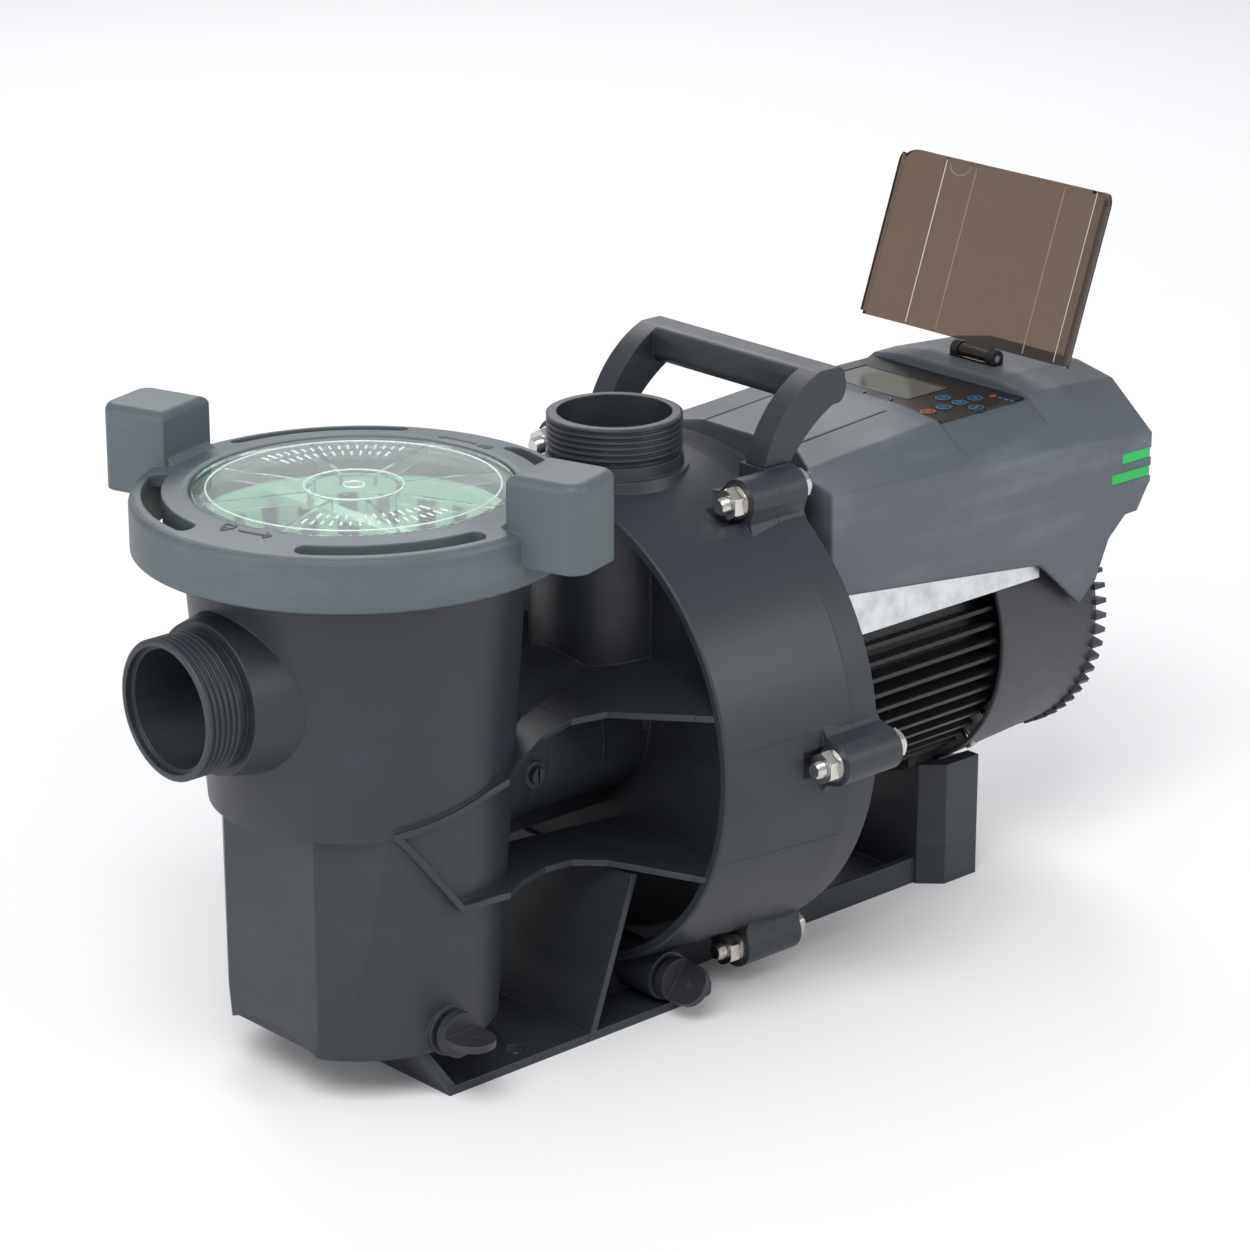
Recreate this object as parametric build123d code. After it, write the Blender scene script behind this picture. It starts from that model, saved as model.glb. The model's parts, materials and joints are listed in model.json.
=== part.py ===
"""Self-priming pool pump with an inverter drive, built in millimetres.

Frame: the floor is Z = 0 and the origin is on the base's underside, straight below the outlet.
+X runs along the shaft from the strainer pot towards the motor, +Z is up, and -Y is the near side.
"""
from build123d import *
from math import cos, pi, radians, sin, tan
import os

os.makedirs("parts", exist_ok=True)

# ---------------------------------------------------------------- driving dimensions
SHAFT_Z = 156.0              # shaft axis above the floor
FIT = 0.05                   # radial clearance of a running or sliding fit
GAP = 0.3                    # clearance between pieces that move past each other

# strainer pot
POT_X = -183.5               # pot axis
POT_FLOOR_Z = 27.0
POT_NECK_Z = 290.0
POT_BASE_R = 72.3
POT_NECK_R = 90.3
POT_WALL = 5.0
POT_FRONT = 63.0             # flat front panel, from the pot axis
PANEL_HALF = 38.0
PANEL_TOP_Z = 154.0
PANEL_ARCH = 8.0
COLLAR_R = 95.5              # male thread of the lock ring, kept plain
COLLAR_Z0 = 296.0
POT_RIM_Z = 309.0

# lid and lock ring
RING_R = 117.0
RING_Z0 = 292.0
RING_TOP_Z = 320.7
RING_WALL = 6.0
RING_SLEEVE = 3.7
RING_EYE_R = 86.0
LID_FLANGE_R = 94.3
LID_FLANGE = 4.6
LID_DOME_Z = 323.0
LID_WALL = 4.5
LUG_ANGLE = -72.9
LUG_R = 149.0
LUG_HALF = 20.6
LUG_Z0 = 303.0
LUG_Z1 = 350.4
LUG_ROUND = 10.0             # radius of the lug's outer upright edges; its top edges have half of it
SLOT_ANGLE = -28.0
SLOT_SPAN = 49.0
LID_SEAL_D = 5.0
LID_SEAL_R = 89.2

# strainer basket
BASKET_TOP_Z = 301.0
BASKET_FLOOR_Z = 122.0
BASKET_R = 81.5
BASKET_FLOOR_R = 50.0
BASKET_WALL = 2.2
BASKET_COLUMNS = 20
BASKET_ROWS = 3
BASKET_RIB = 4.0

# ports: both carry a 2.5 inch pipe thread
PORT_BORE_R = 31.8
THREAD_R = 37.6
THREAD_PITCH = 2.31
INLET_X = -309.5
INLET_Z = 229.4
INLET_THREAD = 21.0
INLET_NECK_R = 41.0
OUTLET_TOP_Z = SHAFT_Z + 170.0
OUTLET_THREAD = 20.0
OUTLET_COLLAR = 9.0
OUTLET_NECK_R = 41.0

# volute drum and its flange
DRUM_FRONT_X = -45.5
JOINT_X = 42.6               # joint face between drum and seal plate
DRUM_FRONT_R = 138.0
FLANGE_R = 145.3
DRUM_WALL = 6.0
DRUM_BORE_R = 129.0
DRUM_BULKHEAD_X = -15.0
DUCT_R = 44.0
DUCT_BORE_R = 36.0
DUCT_X0 = -87.5              # the one-piece moulding is kept as three nodes, cut at these planes
DUCT_X1 = -48.6
BOLT_CIRCLE_R = 151.0
BOLT_COUNT = 6
BOLT_R = 5.0
EAR_R = 12.5
EAR_LENGTH = 21.0
WASHER = 2.0
NUT = 8.0
NUT_FLATS = 16.0
BOLT_TAIL = 5.0

# drain plugs and the small duct plug
PLUG_R = 12.5
PLUG_SHANK_R = 8.0
PLUG_SHANK = 12.0
PLUG_HEAD = 6.0
PLUG_TAB = 22.0
PLUG_TAB_THICK = 4.0
PLUG_SEAL_D = 2.6
POT_DRAIN = (-186.0, -75.0, 38.0)
VOLUTE_DRAIN = (-26.0, -72.0, SHAFT_Z - 136.0)
DUCT_PLUG_R = 4.6

# ribs between pot and drum
RIB = 3.6
RIB_PROUD = 4.5
UPPER_RIB = (9.0, 0.19)      # height above the shaft at the pot axis, rise per mm of X
LOWER_RIB = (-46.0, -0.085)

# seal plate and hydraulics
SEAL_PLATE_X1 = 62.6
SEAL_PLATE_WEB = 8.0
SEAL_R = 19.0                # bore of the hub that holds the seal's stationary ring
MOTOR_BOLT_R = 66.0          # circle of the four screws that join seal plate and motor
HANDLE_PAD_Z = SHAFT_Z + 143.8
HOUSING_SEAL_R = 134.0
HOUSING_SEAL_D = 5.0
IMPELLER_R = 62.0
IMPELLER_X0 = 2.0
IMPELLER_X1 = 22.0
IMPELLER_EYE_R = 27.0
IMPELLER_VANES = 6
DIFFUSER_R = 104.0
DIFFUSER_X0 = -5.0
DIFFUSER_X1 = 38.0
DIFFUSER_WALL = 3.0
DIFFUSER_SEAL_D = 3.4

# motor
SHAFT_R = 10.0
SHAFT_NOSE_R = 8.0
SHAFT_X1 = 268.0
BEARING_R = 23.5
BEARING_W = 14.0
BEARING_BALLS = 8
BALL_R = 2.9
FRAME_R = 85.0
FRAME_TUBE_R = 72.0
FRAME_BORE_R = 67.0
FRAME_X0 = 84.0
FRAME_X1 = 222.0
FIN_COUNT = 54
FIN = 2.4
END_SHIELD = 14.0
STATOR_R = 66.8
STATOR_BORE_R = 38.0
STATOR_X0 = 112.0
STATOR_X1 = 192.0
AIR_GAP = 0.6
WINDING = 13.0
FAN_R = 74.0
FAN_X0 = 246.0
FAN_X1 = 270.0
FAN_BLADES = 9
COVER_X0 = 221.6
COVER_X1 = 313.5
COVER_R0 = 91.0
COVER_R1 = 86.0
COVER_WALL = 2.6
GRILLE_BARS = 60
GRILLE_R = 89.0
GRILLE_DEPTH = 9.0
COVER_SCREW_ANGLES = (18, -36, 229)

# base
BASE = 5.0
BASE_X0 = -187.5
BASE_X1 = 11.5
BASE_HALF = 75.0
RAIL_HALF = 40.0
RAIL_H = 16.0
RAIL = 5.0
PEDESTAL_X0 = 204.5
PEDESTAL_X1 = 243.5
PEDESTAL_HALF = 54.0
PEDESTAL_Z = SHAFT_Z - 80.0
PEDESTAL_ROOF = 30.0         # thickness of the pedestal above its hollow
PEDESTAL_CHAMFER = 12.0
PAD_HALF = 40.0
PAD_X0 = 198.0
PAD_X1 = 219.0
PAD = 5.5
BASE_HOLE_R = 5.5
BASE_HOLES_X = (-130.0, -5.0)
BASE_HOLES_HALF = 62.0

# handle
HANDLE_X = 94.0
HANDLE_Z = HANDLE_PAD_Z + 36.2
HANDLE_HALF = 72.0
HANDLE_ARM = 15.0
HANDLE_BAR_X = 24.0
HANDLE_BAR_Z = 20.6

# inverter drive housing, with its heights measured from the shaft
DRIVE_WALL = 3.0
DRIVE_STATIONS = [
    # X, half width, crest height, shoulder height, ridge height
    (79.5, 90.0, 125.0, 132.0, 134.5),
    (182.5, 91.0, 118.0, 138.5, 142.0),
    (286.5, 93.0, 111.5, 139.0, 143.0),
    (341.5, 94.5, 108.5, 135.0, 140.5),
]
DRIVE_SHOULDER = 62.0
DRIVE_RIDGE = 35.0
DRIVE_SKIRT = [(79.5, 65.5), (249.5, 46.5), (284.0, 15.4)]
DRIVE_TAIL = [(297.5, 27.0), (307.5, 50.0), (321.0, 62.0), (331.0, 62.5), (340.0, 77.0)]
ACCENT_SLOTS = [
    # X, lowest and highest height
    (317.0, 93.2, 99.6),
    (308.5, 82.0, 88.4),
]
ACCENT_HALF = 60.0           # the slots stop this far from the middle, at the rear
RIDGE_LINE = 1.2             # width of the two engraved lines along the ridges
NOTCH_X = 101.5
NOTCH_HALF = 44.0
NOTCH_RUN = 22.0
NOTCH_FLOOR_Z = SHAFT_Z + 106.0
RECESS_X0 = 192.5
RECESS_X1 = 268.0
RECESS_Z = SHAFT_Z + 135.5
RECESS_HALF = 60.5
WING_HALF = 84.0
WING_SLOPE = 31.0
HEAT_SINK_X0 = 84.0
HEAT_SINK_X1 = 256.0
HEAT_SINK_HALF = 86.0
HEAT_SINK_Z0 = SHAFT_Z + 36.0
HEAT_SINK_Z1 = SHAFT_Z + 99.0

# control panel
PANEL_X0 = 196.5
PANEL_X1 = 266.5
PANEL_THICK = 1.8
WINDOW_X = (214.5, 247.0)
WINDOW_Y = (-17.0, 49.0)
KEY_R = 5.0
KEY_H = 1.6
KEY_TRAVEL = 0.5
PAD_CENTRE = (230.5, -43.0)
PAD_PITCH = 13.2
ROW_X = 204.0
ROW_Y = (-43.0, -8.0, 13.5, 35.0)

# smoked cover over the control panel
HINGE_X = 290.5
HINGE_Z = RECESS_Z + 11.0
COVER_LENGTH = 109.0
COVER_FLAT = 60.0
COVER_HALF = 82.0
COVER_THICK = 2.2
WING_ROUND = 9.0             # radius of the cover's two front corners, in plan
COVER_OPEN = 109.5           # opening angle from closed to the resting, open position
KNUCKLE_R = 4.4
KNUCKLE_HALF = 11.0
PIN_R = 2.0
CLIP_EAR = 5.5


# ---------------------------------------------------------------- helpers
def box(x0, x1, y0, y1, z0, z1):
    """Block between two corners."""
    return Pos((x0 + x1) / 2, (y0 + y1) / 2, (z0 + z1) / 2) * Box(x1 - x0, y1 - y0, z1 - z0)


def rod_x(r, x0, x1, y=0.0, z=SHAFT_Z):
    return Pos((x0 + x1) / 2, y, z) * Rot(0, 90, 0) * Cylinder(r, x1 - x0)


def rod_y(r, y0, y1, x, z):
    return Pos(x, (y0 + y1) / 2, z) * Rot(90, 0, 0) * Cylinder(r, y1 - y0)


def rod_z(r, z0, z1, x=0.0, y=0.0):
    return Pos(x, y, (z0 + z1) / 2) * Cylinder(r, z1 - z0)


def tube_x(r_out, r_in, x0, x1):
    return rod_x(r_out, x0, x1) - rod_x(r_in, x0 - 1, x1 + 1)


def spin_x(points):
    """Turn (x, radius) points about the shaft axis."""
    face = make_face(Polyline(*[(x, 0, SHAFT_Z + r) for x, r in points], close=True))
    return revolve(face, Axis((0, 0, SHAFT_Z), (1, 0, 0)), 360)


def spin_z(points, x=POT_X):
    """Turn (radius, z) points about a vertical axis."""
    face = make_face(Polyline(*[(x + r, 0, z) for r, z in points], close=True))
    return revolve(face, Axis((x, 0, 0), (0, 0, 1)), 360)


def plate_y(points, y0, y1):
    """Extrude an (x, z) outline along Y."""
    face = make_face(Polyline(*[(x, y0, z) for x, z in points], close=True))
    return extrude(face, amount=y1 - y0, dir=(0, 1, 0))


def plate_z(points, z0, z1):
    """Extrude an (x, y) outline along Z."""
    face = make_face(Polyline(*[(x, y, z0) for x, y in points], close=True))
    return extrude(face, amount=z1 - z0, dir=(0, 0, 1))


def plate_x(points, x0, x1):
    """Extrude a (y, z) outline along X."""
    face = make_face(Polyline(*[(x0, y, z) for y, z in points], close=True))
    return extrude(face, amount=x1 - x0, dir=(1, 0, 0))


def about_shaft(shape, angle):
    """Turn a shape about the shaft axis."""
    return Pos(0, 0, SHAFT_Z) * Rot(angle, 0, 0) * Pos(0, 0, -SHAFT_Z) * shape


def about_pot(shape, angle):
    """Turn a shape about the pot axis."""
    return Pos(POT_X, 0, 0) * Rot(0, 0, angle) * Pos(-POT_X, 0, 0) * shape


def mirror_y(shape):
    return mirror(shape, about=Plane.XZ)


def o_ring_z(r, d, z, x=POT_X):
    return Pos(x, 0, z) * Torus(r, d / 2)


def o_ring_x(r, d, x):
    return Pos(x, 0, SHAFT_Z) * Rot(0, 90, 0) * Torus(r, d / 2)


def save(name, shape):
    shape.label = name
    export_step(shape, f"parts/{name}.step")


def pot_r(z):
    """Outer radius of the tapered pot at a height."""
    share = (z - POT_FLOOR_Z) / (POT_NECK_Z - POT_FLOOR_Z)
    return POT_BASE_R + share * (POT_NECK_R - POT_BASE_R)


def bolt_spots():
    """Y, Z and turn of each flange bolt; two of them lie level with the shaft."""
    for i in range(BOLT_COUNT):
        a = 360.0 / BOLT_COUNT * i
        yield BOLT_CIRCLE_R * cos(radians(a)), SHAFT_Z + BOLT_CIRCLE_R * sin(radians(a)), a


# ---------------------------------------------------------------- pump body
def threaded_rings(z0, length, r, step):
    """Thread crests as a stack of ridges on a vertical axis, for a port."""
    count = int(length / step)
    pts = [(PORT_BORE_R, z0)]
    root = r - 0.64 * THREAD_PITCH
    for i in range(count):
        base = z0 + i * step
        pts += [(root, base), (root, base + step * 0.25), (r, base + step * 0.45), (r, base + step * 0.8)]
    return pts + [(root, z0 + length), (PORT_BORE_R, z0 + length)]


def inlet_port():
    """Threaded inlet on the pot's front, with a thread relief and a flared neck."""
    body = spin_z(threaded_rings(0, INLET_THREAD, THREAD_R, INLET_THREAD / 6), 0.0)
    body += rod_z(THREAD_R - 2.6, -5.0, 0.5)
    body += Pos(0, 0, -26.0) * Cone(INLET_NECK_R + 9.0, INLET_NECK_R, 42.0)
    turned = Rot(0, -90, 0) * body
    return Pos(INLET_X + INLET_THREAD, 0, INLET_Z) * turned


def outlet_port():
    """Threaded outlet on the drum's top, with a collar below the thread."""
    low = OUTLET_TOP_Z - OUTLET_THREAD
    body = spin_z(threaded_rings(low, OUTLET_THREAD, THREAD_R, OUTLET_THREAD / 6), 0.0)
    body += rod_z(THREAD_R + 0.4, low - OUTLET_COLLAR, low - 2.0)
    body += rod_z(THREAD_R - 2.6, low - OUTLET_COLLAR - 1, low + 0.5)
    neck = low - OUTLET_COLLAR
    body += spin_z([(0, SHAFT_Z), (OUTLET_NECK_R + 7, SHAFT_Z), (OUTLET_NECK_R + 7, neck - 22),
                    (OUTLET_NECK_R + 1.5, neck - 6), (OUTLET_NECK_R, neck), (0, neck)], 0.0)
    return body & box(-100, JOINT_X, -100, 100, SHAFT_Z, OUTLET_TOP_Z)


def panel_plan(inset):
    """Plan outline that gives the pot its flat front panel and the two faces beside it."""
    front, half = POT_X - POT_FRONT + inset, PANEL_HALF - 0.4 * inset
    back = POT_X + 2 * POT_BASE_R
    return [(front, -half), (front, half), (front + 30, half + 42), (front + 30, half + 80), (back, half + 80),
            (back, -half - 80), (front + 30, -half - 80), (front + 30, -half - 42)]


def pot_outer():
    """Tapered pot with its collar; below the ledge its front is a flat, arched panel."""
    pot = spin_z([
        (0, POT_FLOOR_Z), (POT_BASE_R, POT_FLOOR_Z), (POT_NECK_R, POT_NECK_Z), (COLLAR_R - 3, COLLAR_Z0 - 2),
        (COLLAR_R, COLLAR_Z0), (COLLAR_R, POT_RIM_Z), (0, POT_RIM_Z)])
    front = POT_X - POT_FRONT
    pot -= box(front - 60, POT_X, -120, 120, 0, PANEL_TOP_Z) - plate_z(panel_plan(0), -1, PANEL_TOP_Z + 1)
    arch_r = (PANEL_HALF ** 2 + PANEL_ARCH ** 2) / (2 * PANEL_ARCH)
    return pot - rod_x(arch_r, front - 1, front + 4, 0, POT_FLOOR_Z + PANEL_ARCH - arch_r)


def pot_cavity():
    """Inside of the pot, a wall's thickness in from its outside."""
    z0 = POT_FLOOR_Z + 2 * POT_WALL
    rim_r = POT_NECK_R - POT_WALL
    inside = spin_z([(0, z0), (pot_r(z0) - POT_WALL, z0), (rim_r, POT_NECK_Z), (rim_r, POT_RIM_Z + 1),
                     (0, POT_RIM_Z + 1)])
    ledge = PANEL_TOP_Z + POT_WALL
    plan = plate_z(panel_plan(POT_WALL), -1, ledge + 1)
    return inside - (box(POT_X - POT_FRONT - 60, POT_X, -120, 120, 0, ledge) - plan)


def rib_band(level, x0, x1):
    """A sloping rib seen from the side, as an (x, z) band."""
    height, slope = level
    z_pot = SHAFT_Z + height
    top = [(x, z_pot + slope * (x - POT_X) + RIB / 2) for x in (x0, x1)]
    low = [(x, z_pot + slope * (x - POT_X) - RIB / 2) for x in (x1, x0)]
    return top + low


def near_ribs():
    """Upper rib, lower rib and the slanted rib that joins them on the pot's near side."""
    left, right = POT_X - 38.0, DRUM_BULKHEAD_X + 1
    outline = [(left, 0), (left, -75), (POT_X, -pot_r(SHAFT_Z - 36) - RIB_PROUD), (POT_X + 34, -82), (POT_X + 50, -72),
               (POT_X + 76, -62), (POT_X + 96, -61), (POT_X + 112, -72), (POT_X + 124, -95),
               (DRUM_FRONT_X + 2, -127), (right, -127), (right, 0)]
    low, high = SHAFT_Z - 96, SHAFT_Z + 64
    plan = plate_z(outline, low, high)
    rim = rod_z(pot_r(SHAFT_Z - 16) + RIB_PROUD, low, high, POT_X) & box(left, POT_X + 80, -120, 0, low, high)
    reach = (plan + rim) & rod_x(DRUM_FRONT_R - 3, -260, right)
    upper = plate_y(rib_band(UPPER_RIB, left, right), -128, -20)
    lower = plate_y(rib_band(LOWER_RIB, POT_X - 1, right), -128, -20)
    z_a = SHAFT_Z + UPPER_RIB[0] + UPPER_RIB[1] * (left - POT_X)
    z_b = SHAFT_Z + LOWER_RIB[0]
    half = RIB * 0.6
    slant = plate_y([(left - half, z_a + half / 2), (left + half, z_a + half / 2), (POT_X + half, z_b - half / 2),
                     (POT_X - half, z_b - half / 2)], -128, -20)
    return (upper + lower + slant) & reach


def flange_ears(x0, x1):
    """Bolt ears that stand out of the drum's or the seal plate's rim."""
    ears = None
    foot = EAR_R + 9.0
    half = [(DRUM_FRONT_R - 6.0, foot), (FLANGE_R - 4.7, foot), (FLANGE_R + 0.5, EAR_R + 1.6),
            (BOLT_CIRCLE_R + 1.0, EAR_R - 0.1)]
    outline = [(r, t) for r, t in half] + [(r, -t) for r, t in reversed(half)]
    web = plate_x([(r, SHAFT_Z + t) for r, t in outline], x0, x1)
    for y, z, a in bolt_spots():
        ear = rod_x(EAR_R, x0, x1, y, z) + about_shaft(web, a)
        ears = ear if ears is None else ears + ear
    return ears


def bolt_holes(x0, x1, r):
    holes = None
    for y, z, a in bolt_spots():
        hole = rod_x(r, x0, x1, y, z)
        holes = hole if holes is None else holes + hole
    return holes


def drum_outer():
    """Drum with an open front skirt and a bulkhead that closes the pressure chamber."""
    front = DRUM_FRONT_X
    shell = spin_x([(front, DRUM_FRONT_R - DRUM_WALL + 1), (front, DRUM_FRONT_R - 1), (front + 1, DRUM_FRONT_R),
                    (JOINT_X, FLANGE_R), (JOINT_X, 0), (DRUM_BULKHEAD_X, 0),
                    (DRUM_BULKHEAD_X, DRUM_FRONT_R - DRUM_WALL - 6), (DRUM_BULKHEAD_X - 5, DRUM_FRONT_R - DRUM_WALL)])
    return shell


def drum_cavity():
    x0 = DRUM_BULKHEAD_X + DRUM_WALL
    seat = HOUSING_SEAL_R + HOUSING_SEAL_D / 2 + 0.4
    return spin_x([(x0, 0), (x0, DRUM_BORE_R - 6), (x0 + 8, DRUM_BORE_R),
                   (JOINT_X - 6, DRUM_BORE_R), (JOINT_X - 6, seat), (JOINT_X + 1, seat),
                   (JOINT_X + 1, 0)])


def drain_boss(spot, inward):
    x, y, z = spot
    return rod_y(PLUG_R + 1.5, y, y + inward, x, z)


def drain_hole(spot, depth):
    x, y, z = spot
    return rod_y(PLUG_SHANK_R + FIT, y - 1, y + depth, x, z)


def duct_plug_spot():
    """The small plug is on the duct's near side, between the ribs."""
    return POT_X + 84.0, -DUCT_R + 1.0, SHAFT_Z - 4.0


def make_pump_body():
    duct = rod_x(DUCT_R, POT_X + 40, DRUM_BULKHEAD_X + 1)
    throat = Pos(POT_X + 62, 0, SHAFT_Z) * Rot(0, 90, 0) * Cone(DUCT_R + 14, DUCT_R, 44)
    ribs = near_ribs()
    px, py, pz = duct_plug_spot()
    keel = box(POT_X + 60, DRUM_BULKHEAD_X + 1, -RIB, RIB, SHAFT_Z + LOWER_RIB[0] - 10, SHAFT_Z - 30)
    body = pot_outer() + drum_outer() + duct + throat + keel + ribs + mirror_y(ribs)
    body += inlet_port() + outlet_port()
    body += flange_ears(JOINT_X - EAR_LENGTH, JOINT_X)
    body += drain_boss(POT_DRAIN, 30) + drain_boss(VOLUTE_DRAIN, 60)
    body += rod_y(DUCT_PLUG_R + 3, py - 3, py + 12, px, pz)
    body -= pot_cavity()
    body -= drum_cavity()
    body -= rod_x(PORT_BORE_R, INLET_X - 1, POT_X, 0, INLET_Z)
    body -= rod_z(PORT_BORE_R, SHAFT_Z + DIFFUSER_R + 6.0, OUTLET_TOP_Z + 1)
    body -= rod_x(DUCT_BORE_R, POT_X + 20, DRUM_BULKHEAD_X + DRUM_WALL + 1)
    body -= bolt_holes(JOINT_X - EAR_LENGTH - 1, JOINT_X + 1, BOLT_R + 0.4)
    for y, z, a in bolt_spots():
        body -= rod_x(NUT_FLATS * 0.72, JOINT_X - EAR_LENGTH - 14, JOINT_X - EAR_LENGTH, y, z)
    groove = LID_SEAL_R + LID_SEAL_D / 2 + GAP
    body -= rod_z(groove, POT_RIM_Z - LID_SEAL_D, POT_RIM_Z + 1, POT_X) \
        - rod_z(LID_SEAL_R - LID_SEAL_D / 2 - GAP, POT_RIM_Z - LID_SEAL_D - 1, POT_RIM_Z + 2, POT_X)
    body -= drain_hole(POT_DRAIN, 40)
    body -= drain_hole(VOLUTE_DRAIN, 45)
    body -= rod_y(DUCT_PLUG_R + FIT, py - 4, py + 8, px, pz)
    body -= rod_x(PORT_BORE_R + 2.0, INLET_X - 1, INLET_X + 4, 0, INLET_Z)
    return body


def slice_x(shape, x0, x1):
    """The part of a shape between two planes across the shaft."""
    return shape & box(x0, x1, -200, 200, 0, 400)


def make_duct_plug():
    """Small slotted plug in the duct's sensing boss."""
    px, py, pz = duct_plug_spot()
    plug = rod_y(DUCT_PLUG_R, py - 6.0, py + 6.0, px, pz)
    return plug - box(px - 0.7, px + 0.7, py - 7, py - 4, pz - 10, pz + 10)


# ---------------------------------------------------------------- lid, ring, basket
def make_lock_ring():
    """Bayonet lock ring with two grip lugs and four long slots."""
    sleeve_in = COLLAR_R + GAP
    seat_z = POT_RIM_Z + GAP + LID_FLANGE + GAP
    ring = spin_z([
        (RING_R - RING_WALL, RING_Z0), (RING_R - 1.0, RING_Z0), (RING_R, RING_Z0 + 1),
        (RING_R, RING_TOP_Z - 3.5), (RING_R - 1.0, RING_TOP_Z - 1.0), (RING_R - 3.5, RING_TOP_Z),
        (RING_EYE_R + 3.0, LID_DOME_Z + 0.8), (RING_EYE_R, LID_DOME_Z), (RING_EYE_R, seat_z),
        (sleeve_in, seat_z), (sleeve_in, RING_Z0 + 1), (sleeve_in + RING_SLEEVE, RING_Z0 + 1),
        (sleeve_in + RING_SLEEVE, seat_z), (RING_R - RING_WALL, seat_z)])
    for turn in (0, 180):
        ring += about_pot(lug(), LUG_ANGLE + turn)
    for i in range(4):
        ring -= about_pot(arc_slot(sleeve_in + RING_SLEEVE + 0.3, RING_R - RING_WALL - 0.8), SLOT_ANGLE + 90 * i)
    return ring


def lug():
    """Grip lug that points along +X from the pot axis."""
    block = box(POT_X + RING_R - 11, POT_X + LUG_R, -LUG_HALF, LUG_HALF, LUG_Z0, LUG_Z1)
    upright = [e for e in block.edges() if abs(e.tangent_at(0.5).Z) > 0.9 and e.center().X > POT_X + LUG_R - 1]
    block = fillet(upright, LUG_ROUND)
    block = fillet(block.faces().sort_by(Axis.Z)[-1].edges(), LUG_ROUND / 2)
    ramp = plate_y([(POT_X + RING_R - 22, RING_TOP_Z - 3), (POT_X + RING_R - 9, RING_TOP_Z + 6),
                    (POT_X + RING_R - 4, RING_TOP_Z + 14), (POT_X + RING_R - 4, RING_TOP_Z - 3)],
                   -LUG_HALF + 2, LUG_HALF - 2)
    clear = rod_z(RING_R - RING_WALL, LUG_Z0 - 1, RING_TOP_Z - 6.5, POT_X)
    return block + ramp - clear


def arc_slot(r0, r1):
    """Long round-ended slot centred on +X from the pot axis."""
    half = radians(SLOT_SPAN / 2)
    ends = None
    mid = (r0 + r1) / 2
    for s in (-1, 1):
        end = rod_z((r1 - r0) / 2, RING_Z0, RING_TOP_Z + 8, POT_X + mid * cos(half), s * mid * sin(half))
        ends = end if ends is None else ends + end
    reach = 2 * r1
    wedge = plate_z([(POT_X, 0), (POT_X + reach * cos(half), -reach * sin(half)),
                     (POT_X + reach * cos(half), reach * sin(half))], RING_Z0, RING_TOP_Z + 8)
    band = rod_z(r1, RING_Z0, RING_TOP_Z + 8, POT_X) - rod_z(r0, RING_Z0 - 1, RING_TOP_Z + 9, POT_X)
    return (band & wedge) + ends


def make_clear_lid():
    """Clear lid: a flange under the ring, a raised window and a stiffening hub below it."""
    z0 = POT_RIM_Z + GAP
    dome = RING_EYE_R - GAP - 0.4
    lid = spin_z([
        (0, LID_DOME_Z - LID_WALL), (dome - LID_WALL, LID_DOME_Z - LID_WALL - 1),
        (dome - LID_WALL, z0), (LID_FLANGE_R, z0), (LID_FLANGE_R, z0 + LID_FLANGE), (dome, z0 + LID_FLANGE),
        (dome, LID_DOME_Z - 1.2), (dome - 1.2, LID_DOME_Z), (0, LID_DOME_Z)])
    hub = rod_z(25, LID_DOME_Z - 15, LID_DOME_Z - 2, POT_X) - rod_z(22.5, LID_DOME_Z - 16, LID_DOME_Z - 3, POT_X)
    lid += hub
    for i in range(8):
        rib = box(POT_X + 23, POT_X + dome - 3, -1.2, 1.2, LID_DOME_Z - 11, LID_DOME_Z - 2)
        lid += about_pot(rib, 22.5 + 45 * i)
    return lid


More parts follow.
